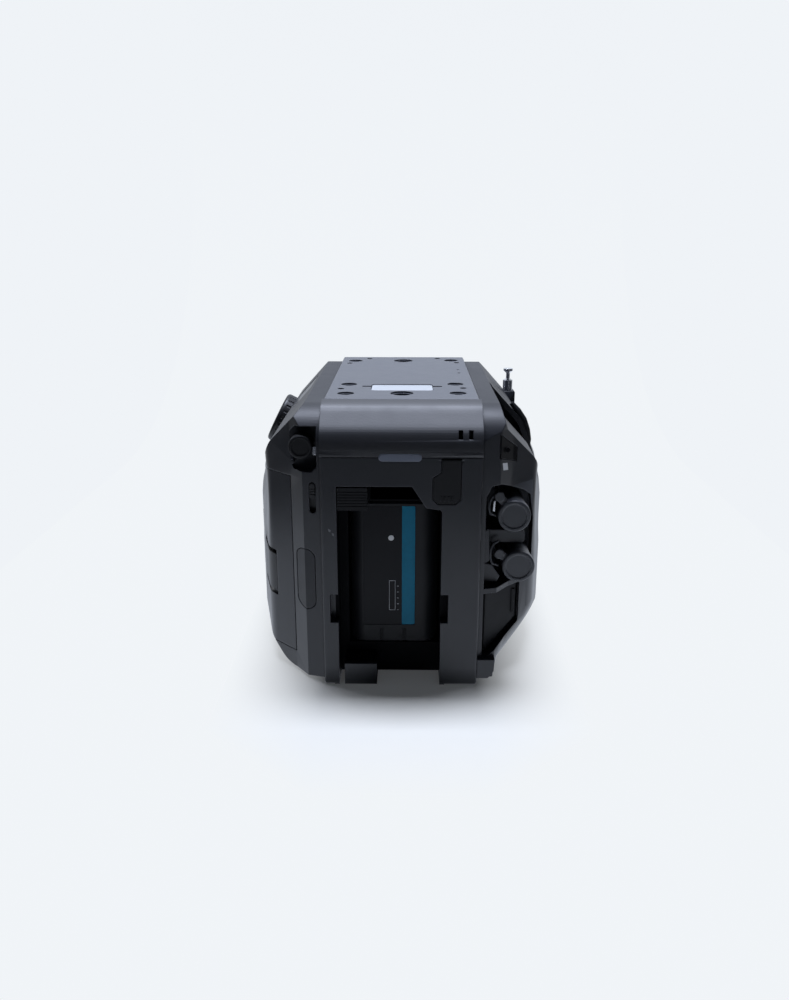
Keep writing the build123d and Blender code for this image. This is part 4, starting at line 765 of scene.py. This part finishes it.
# Left housing: a faceted magnesium casting that carries the controls, the headphone
# jack and the media door. Both housings are drawn in a little above their waist, and the
# right one is cut off at its rear lower corner.
waist_depth = 2.5 * mm
waist_levels = [(52, 0), (70, 0.5), (84, 1), (98, 0.7), (113, 0)]
waist_outward = [(62, 0), (67, 1)]
waist_inward = [(64, 1), (79, 0)]
corner_spot = Vector((46.8 * mm, rear_y + 30.0 * mm, -0.9 * mm))
corner_normal = Vector((0.786, -0.354, -0.507))
corner_start, corner_rise, corner_round = -3.0, 3.3, 4.0
corner_outward = [(43, 0), (48.5, 1)]
corner_inward = [(52, 1), (66, 0)]
low_crease = 13.0


def between_steps(value, steps):
    """value read off a line through the steps, level beyond its ends"""
    for (start, low), (end, high) in zip(steps, steps[1:]):
        if value < end:
            return low + (high - low) * max((value - start) / (end - start), 0.0)
    return steps[-1][1]


def flank(point):
    """point of a side housing, drawn in above the waist and at the rear lower right corner"""
    back_in = (point.y - rear_y) / mm
    out = abs(point.x) / mm
    up = point.z / mm
    waist = between_steps(up, waist_levels)
    waist *= between_steps(out, waist_outward) * between_steps(back_in, waist_inward)
    side = 1.0 if point.x > 0 else -1.0
    moved = point - Vector((side * waist_depth * waist, 0.0, 0.0))
    reach = (moved - corner_spot).dot(corner_normal) / mm
    if side > 0 and reach > corner_start:
        softened = 1.0 - math.exp(-(reach - corner_start) / corner_round)
        pressed = corner_start + corner_rise * softened
        corner = between_steps(out, corner_outward) * between_steps(back_in, corner_inward)
        moved = moved + corner_normal * ((pressed - reach) * mm * corner)
    return moved


level_cuts = [((0, 0, up * mm), (0, 0, 1)) for up in (52, 58, 64, 70, 77, 84, 91, 98, 106)]
depth_cuts = [((0, rear_y + inward * mm, 0), (0, 1, 0)) for inward in (40, 52, 64, 71, 79)]
recast(
    "left_casting", "left_housing", shell_paint, "body", low_crease,
    level_cuts + depth_cuts, flank,
)

# Media door: a piece of the left casting on two hidden hinges, with a black plastic
# latch that slides down to open it.
recast(
    "door_casting", "media_door", shell_paint, "media_door", low_crease,
    level_cuts + depth_cuts, flank,
)
wear(dark_plastic, "media_door_latch")

# Media unit: two card slots in a black plastic block behind the door. Each card is
# welded from black plastic, with a blank pale sticker on its rear edge.
wear(dark_plastic, "media_slot_unit", "memory_card_1", "memory_card_2")
sticker_paper = coated(
    "sticker_paper", (0.50, 0.52, 0.55), (0.58, 0.60, 0.63), (0.7, 0.71, 0.73),
    0.55, 0.0003, 0.000004, 0.0002, 0.4,
)
sticker_t, sticker_proud = 0.06 * mm, 0.02 * mm
sticker_margin, sticker_below, sticker_above = 0.7 * mm, 9.0 * mm, 4.0 * mm
for card in ("memory_card_1", "memory_card_2"):
    low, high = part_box(card)
    end = low.y - sticker_proud
    left, right = low.x + sticker_margin, high.x - sticker_margin
    bottom, top = low.z + sticker_below, high.z - sticker_above
    prism(
        card + "_sticker",
        [(left, end, bottom), (right, end, bottom), (right, end, top), (left, end, top)],
        (0, sticker_t, 0), sticker_paper, card,
    )

# Headphone jack: a nickel plated socket in a recess of the left rear facet, with a soft
# push-in cap and the bright spring clip that holds the cap's strap.
bright_metal = bare_metal(
    "bright_metal", (0.70, 0.71, 0.73), (0.80, 0.81, 0.83), 0.2, 0.0003, 0.000005, 0.0002
)
wear(bright_metal, "headphone_jack", "strap_clip")
wear(rubber, "headphone_cap")

# Slide switch: a black plastic slider with three grip ribs, in an upright slot of the
# left rear facet. Its spring arms hold it from inside.
wear(dark_plastic, "slide_switch")

# Data port: a stamped nickel shell under a long soft cover on the edge of two facets.
# A moulded tongue stands in the shell.
wear(bright_metal, "usb_socket")
flush_rubber = coated(
    "flush_rubber", (0.0090, 0.0105, 0.0150), (0.0120, 0.0138, 0.0190), (0.045, 0.050, 0.060),
    0.42, 0.00025, 0.00003, 0.0004, 0.45,
)
wear(flush_rubber, "usb_cover")
tongue_half_t, tongue_half_w = 0.3 * mm, 3.2 * mm
tongue_inward, tongue_length = 6.2 * mm, 2.4 * mm
port_low, port_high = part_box("usb_socket")
port_x = (port_low.x + port_high.x) / 2
port_z = (port_low.z + port_high.z) / 2
prism(
    "usb_tongue",
    [(port_x + across * tongue_half_t, port_low.y + tongue_inward, port_z + up * tongue_half_w)
     for across, up in ((-1, -1), (1, -1), (1, 1), (-1, 1))],
    (0, tongue_length, 0), dark_plastic, "body",
)

# Status display: a window of black glass with a dull antireflection coat, glued flush
# into the upper left slope. The display under it is off.
display_glass = coated(
    "display_glass", (0.004, 0.0045, 0.0055), (0.006, 0.0065, 0.0075), (0.02, 0.022, 0.026),
    0.3, 0.002, 0.000002, 0.0003, 0.15,
)
wear(display_glass, "status_display")

# Filter dial: a fluted and slightly domed black plastic wheel on the left slope. It is
# screwed to the shaft that turns the filters inside.
wear(dark_plastic, "nd_dial")

# Menu dial, two assign buttons and the gain toggle stand on the flat control field of
# the left side. The toggle is nickel plated, the others are black plastic.
wear(dark_plastic, "menu_dial", "assign_button_1", "assign_button_2")
wear(bright_metal, "gain_switch")

# Record button: a cap of red moulded plastic at the front end of the left housing. It
# stands on a sprung stem.
wear(red_plastic, "record_button")

# Right housing: a faceted magnesium casting with the sockets, the air slots and the boss
# of the grip. The floor of the video recess is painted a lighter grey: painted light that
# stands in for the light reaching into the recess. A small white square is printed below
# the remote port.
# painted light: a lighter grey for the floor of the video recess
recess_light_look = (
    (0.055, 0.061, 0.076), (0.075, 0.082, 0.100), (0.15, 0.16, 0.185),
    0.5, 0.00035, 0.00002, 0.0006, 0.4,
)
corner_cuts = [
    (corner_spot + corner_normal * (step * mm), corner_normal) for step in (-3, -1, 1, 3, 5, 7)
]
corner_cuts += [((out * mm, 0, 0), (1, 0, 0)) for out, share in corner_outward]
recess_rim, recess_fade, recess_floor = 12.0, 12.0, 36.0
recess_right, recess_low, recess_high = 60.6, 46.6, 92.8
recess_paint_and_light = Finish(bpy.data.materials.new("recess_paint_and_light"))
recess_back = recess_paint_and_light.axis(recess_paint_and_light.place(), "Y") / mm - rear_y / mm
recess_side = recess_paint_and_light.axis(recess_paint_and_light.place(), "X") / mm
recess_up = recess_paint_and_light.axis(recess_paint_and_light.place(), "Z") / mm
# painted light inside the video recess, down to its floor
recess_painted_light = recess_back.ramp(recess_rim, recess_fade) * (recess_back < recess_floor)
recess_painted_light *= (recess_side < recess_right) * between(recess_up, recess_low, recess_high)
recess_paint_and_light.out(recess_paint_and_light.add("ShaderNodeMixShader", {}, [
    recess_painted_light, coat(recess_paint_and_light, *shell_look), coat(recess_paint_and_light, *recess_light_look)
]))
right_casting = recast(
    "right_casting", "right_housing", recess_paint_and_light, "body", low_crease,
    level_cuts + depth_cuts + corner_cuts, flank,
)
white_ink = coated(
    "white_ink", (0.62, 0.64, 0.67), (0.72, 0.74, 0.77), (0.8, 0.81, 0.83),
    0.5, 0.0003, 0.000004, 0.0001, 0.4,
)
port_square = [(44.3, 105.0), (44.8, 101.6), (47.2, 101.0), (46.7, 104.4)]
port_ink_t = 0.05
laid_on(
    "port_mark", right_casting, port_square, port_ink_t, white_ink, "body",
)

# Audio hood: a cast cover over the two audio inputs, open to the rear, with a rounded
# rubber bumper along its outer rear edge.
recast(
    "hood_casting", "audio_hood", shell_paint, "body", low_crease,
    level_cuts + depth_cuts, flank,
)
bumper_r = 1.7
bead_up = Vector((0.2, 1.0, 0.1))
bead_end = 0.72


def bead(name, path, radius, finish, body, sides=10):
    """closed round bead along a path, given in mm with the depth from the rear wall"""
    line = [Vector((x * mm, rear_y + y * mm, z * mm)) for x, y, z in path]
    points = []
    for k, spot in enumerate(line):
        along = (line[min(k + 1, len(line) - 1)] - line[max(k - 1, 0)]).normalized()
        across = along.cross(bead_up).normalized()
        upward = across.cross(along)
        thick = radius * mm * (bead_end if k in (0, len(line) - 1) else 1.0)
        for step in range(sides):
            turn = 2.0 * math.pi * step / sides
            points.append(spot + (across * math.cos(turn) + upward * math.sin(turn)) * thick)
    faces = [tuple(reversed(range(sides)))]
    faces += [tuple(range((len(line) - 1) * sides, len(line) * sides))]
    for k in range(len(line) - 1):
        for step in range(sides):
            first = k * sides + step
            second = k * sides + (step + 1) % sides
            faces.append((first, second, second + sides, first + sides))
    return made(name, points, faces, finish, body)


bead(
    "hood_bumper",
    [(55.2, 76.0, 118.2), (58.6, 75.4, 114.2), (61.6, 75.0, 109.8), (63.4, 74.8, 104.6),
     (64.2, 74.8, 99.6), (64.3, 75.0, 95.6)],
    bumper_r, rubber, "body",
)

# Audio inputs: black plastic sockets with three gold sleeves each, and a nickel plated
# latch lever on their upper rim.
wear(dark_plastic, "xlr_socket_1", "xlr_socket_2")
sleeve_inward = 2.8
sleeve_spots = ((-2.9, 1.6), (2.9, 1.6), (0.0, -3.3))
sleeve_steps = [(3.0, 1.25), (0.0, 1.25), (0.0, 0.85), (2.8, 0.85)]
lever = [(-1.9, 6.9), (-1.3, 8.1), (1.3, 8.1), (1.9, 6.9), (1.2, 6.3), (-1.2, 6.3)]
lever_proud, lever_t = 0.9 * mm, 1.5 * mm
for number in (1, 2):
    low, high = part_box("xlr_socket_" + str(number))
    centre_x = (low.x + high.x) / 2 / mm
    centre_z = (low.z + high.z) / 2 / mm
    for spot, (dx, dz) in enumerate(sleeve_spots):
        turned(
            "audio_sleeve_" + str(number) + "_" + str(spot + 1),
            (centre_x + dx, low.y / mm + sleeve_inward, centre_z + dz), (0, 1, 0),
            sleeve_steps, gold, "body", 20,
        )
    prism(
        "audio_latch_" + str(number),
        [((centre_x + dx) * mm, low.y - lever_proud, (centre_z + dz) * mm)
         for dx, dz in lever],
        (0, lever_t, 0), bright_metal, "body",
    )

# Video connectors: nickel plated bayonet sockets with a white insulator round the centre
# contact. Soft black caps are pushed over them. Rubber loops, a clip and three ribs of
# the casting beside them hold the arms of the caps.
wear(bright_metal, "bnc_socket_1", "bnc_socket_2")
# The pale edge colour of the caps is a painted highlight along their rims.
cap_rubber = coated(
    "cap_rubber", (0.028, 0.0305, 0.038), (0.038, 0.0415, 0.050), (0.20, 0.21, 0.235),
    0.44, 0.00025, 0.00002, 0.0009, 0.6,
)
wear(cap_rubber, "bnc_cap_1", "bnc_cap_2")
insulator_inward = 0.9
insulator_steps = [(0.12, 0.85), (0.0, 0.95), (0.0, 2.3), (0.15, 2.45), (6.0, 2.45)]
for number in (1, 2):
    low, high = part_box("bnc_socket_" + str(number))
    turned(
        "insulator_" + str(number),
        ((low.x + high.x) / 2 / mm, low.y / mm + insulator_inward, (low.z + high.z) / 2 / mm),
        (0, 1, 0), insulator_steps, white_ink, "body", 32,
    )
loop_r = 0.75
bead(
    "anchor_loop_1",
    [(42.8, 11.0, 89.6), (40.6, 10.6, 88.3), (39.4, 10.2, 86.1), (39.2, 10.0, 83.3),
     (40.1, 10.0, 80.9), (42.6, 10.4, 79.7)],
    loop_r, cap_rubber, "body",
)
bead(
    "anchor_loop_2",
    [(44.2, 11.0, 67.4), (41.9, 10.6, 66.2), (40.7, 10.2, 63.7), (40.5, 10.0, 59.8),
     (41.6, 10.0, 57.0), (44.4, 10.4, 55.9)],
    loop_r, cap_rubber, "body",
)
clip_outline = [(41.3, 86.9), (41.0, 82.3), (41.8, 82.0), (42.1, 86.9)]
rail_outline = [(36.6, 73.6), (36.9, 58.0), (39.8, 59.6), (39.3, 74.6)]
shelf_outline = [(36.6, 57.0), (36.8, 46.2), (44.0, 47.6), (45.2, 50.4), (41.6, 55.8)]
rib_outline = [
    (40.2, 71.4), (40.4, 66.2), (44.0, 65.4), (55.6, 65.4), (56.6, 66.6), (56.4, 70.6),
    (55.4, 71.6),
]
for part, outline, inward, length, finish, slot in (
    ("anchor_clip", clip_outline, 9.4, 1.6, bright_metal, "bright_metal"),
    ("video_rail", rail_outline, 6.5, 24.0, shell_paint, "shell_paint"),
    ("video_shelf", shelf_outline, 11.0, 22.0, shell_paint, "shell_paint"),
    ("video_rib", rib_outline, 15.0, 18.0, shell_paint, "shell_paint"),
):
    prism(
        part, [(x * mm, rear_y + inward * mm, z * mm) for x, z in outline],
        (0, length * mm, 0), finish, "body",
    )

# Digital video port: a stamped nickel plated shell in a slanted recess, under a soft
# cover of black rubber that turns on a moulded hinge.
wear(bright_metal, "hdmi_socket")
wear(rubber, "hdmi_cover")

# Remote port cover: a smooth black rubber plug with a slanted outline, pressed flush into
# the upper right rear facet. Its rim is painted pale: a painted highlight along its edge,
# blotched as if rubbed.
gloss_rubber = coated(
    "gloss_rubber", (0.0022, 0.0025, 0.0036), (0.0032, 0.0036, 0.0050), (0.13, 0.138, 0.155),
    0.4, 0.0006, 0.00001, 0.0003, 0.1,
)
wear(gloss_rubber, "remote_cover")

# Grip rosette: a disc of hardened steel with radial teeth and a thread in its middle. It
# is pressed into its boss on the right housing.
wear(steel, "grip_rosette")

# Tape hook: a post turned from brass and nickel plated, riveted to its block on the right
# housing at the plane of the sensor.
wear(bright_metal, "tape_hook")

# Base plate: machined aluminium with three tripod threads, held by four slotted screws
# and faced with a ribbed rubber pad for the shoulder.
wear(plate_paint, "base_plate")
wear(steel, "base_screws")
ribbed = coated(
    "ribbed_rubber", (0.0085, 0.009, 0.011), (0.012, 0.0125, 0.0145), (0.035, 0.037, 0.042),
    0.62, 0.00025, 0.00003, 0.0005, 0.3,
)
wear(ribbed, "shoulder_pad")
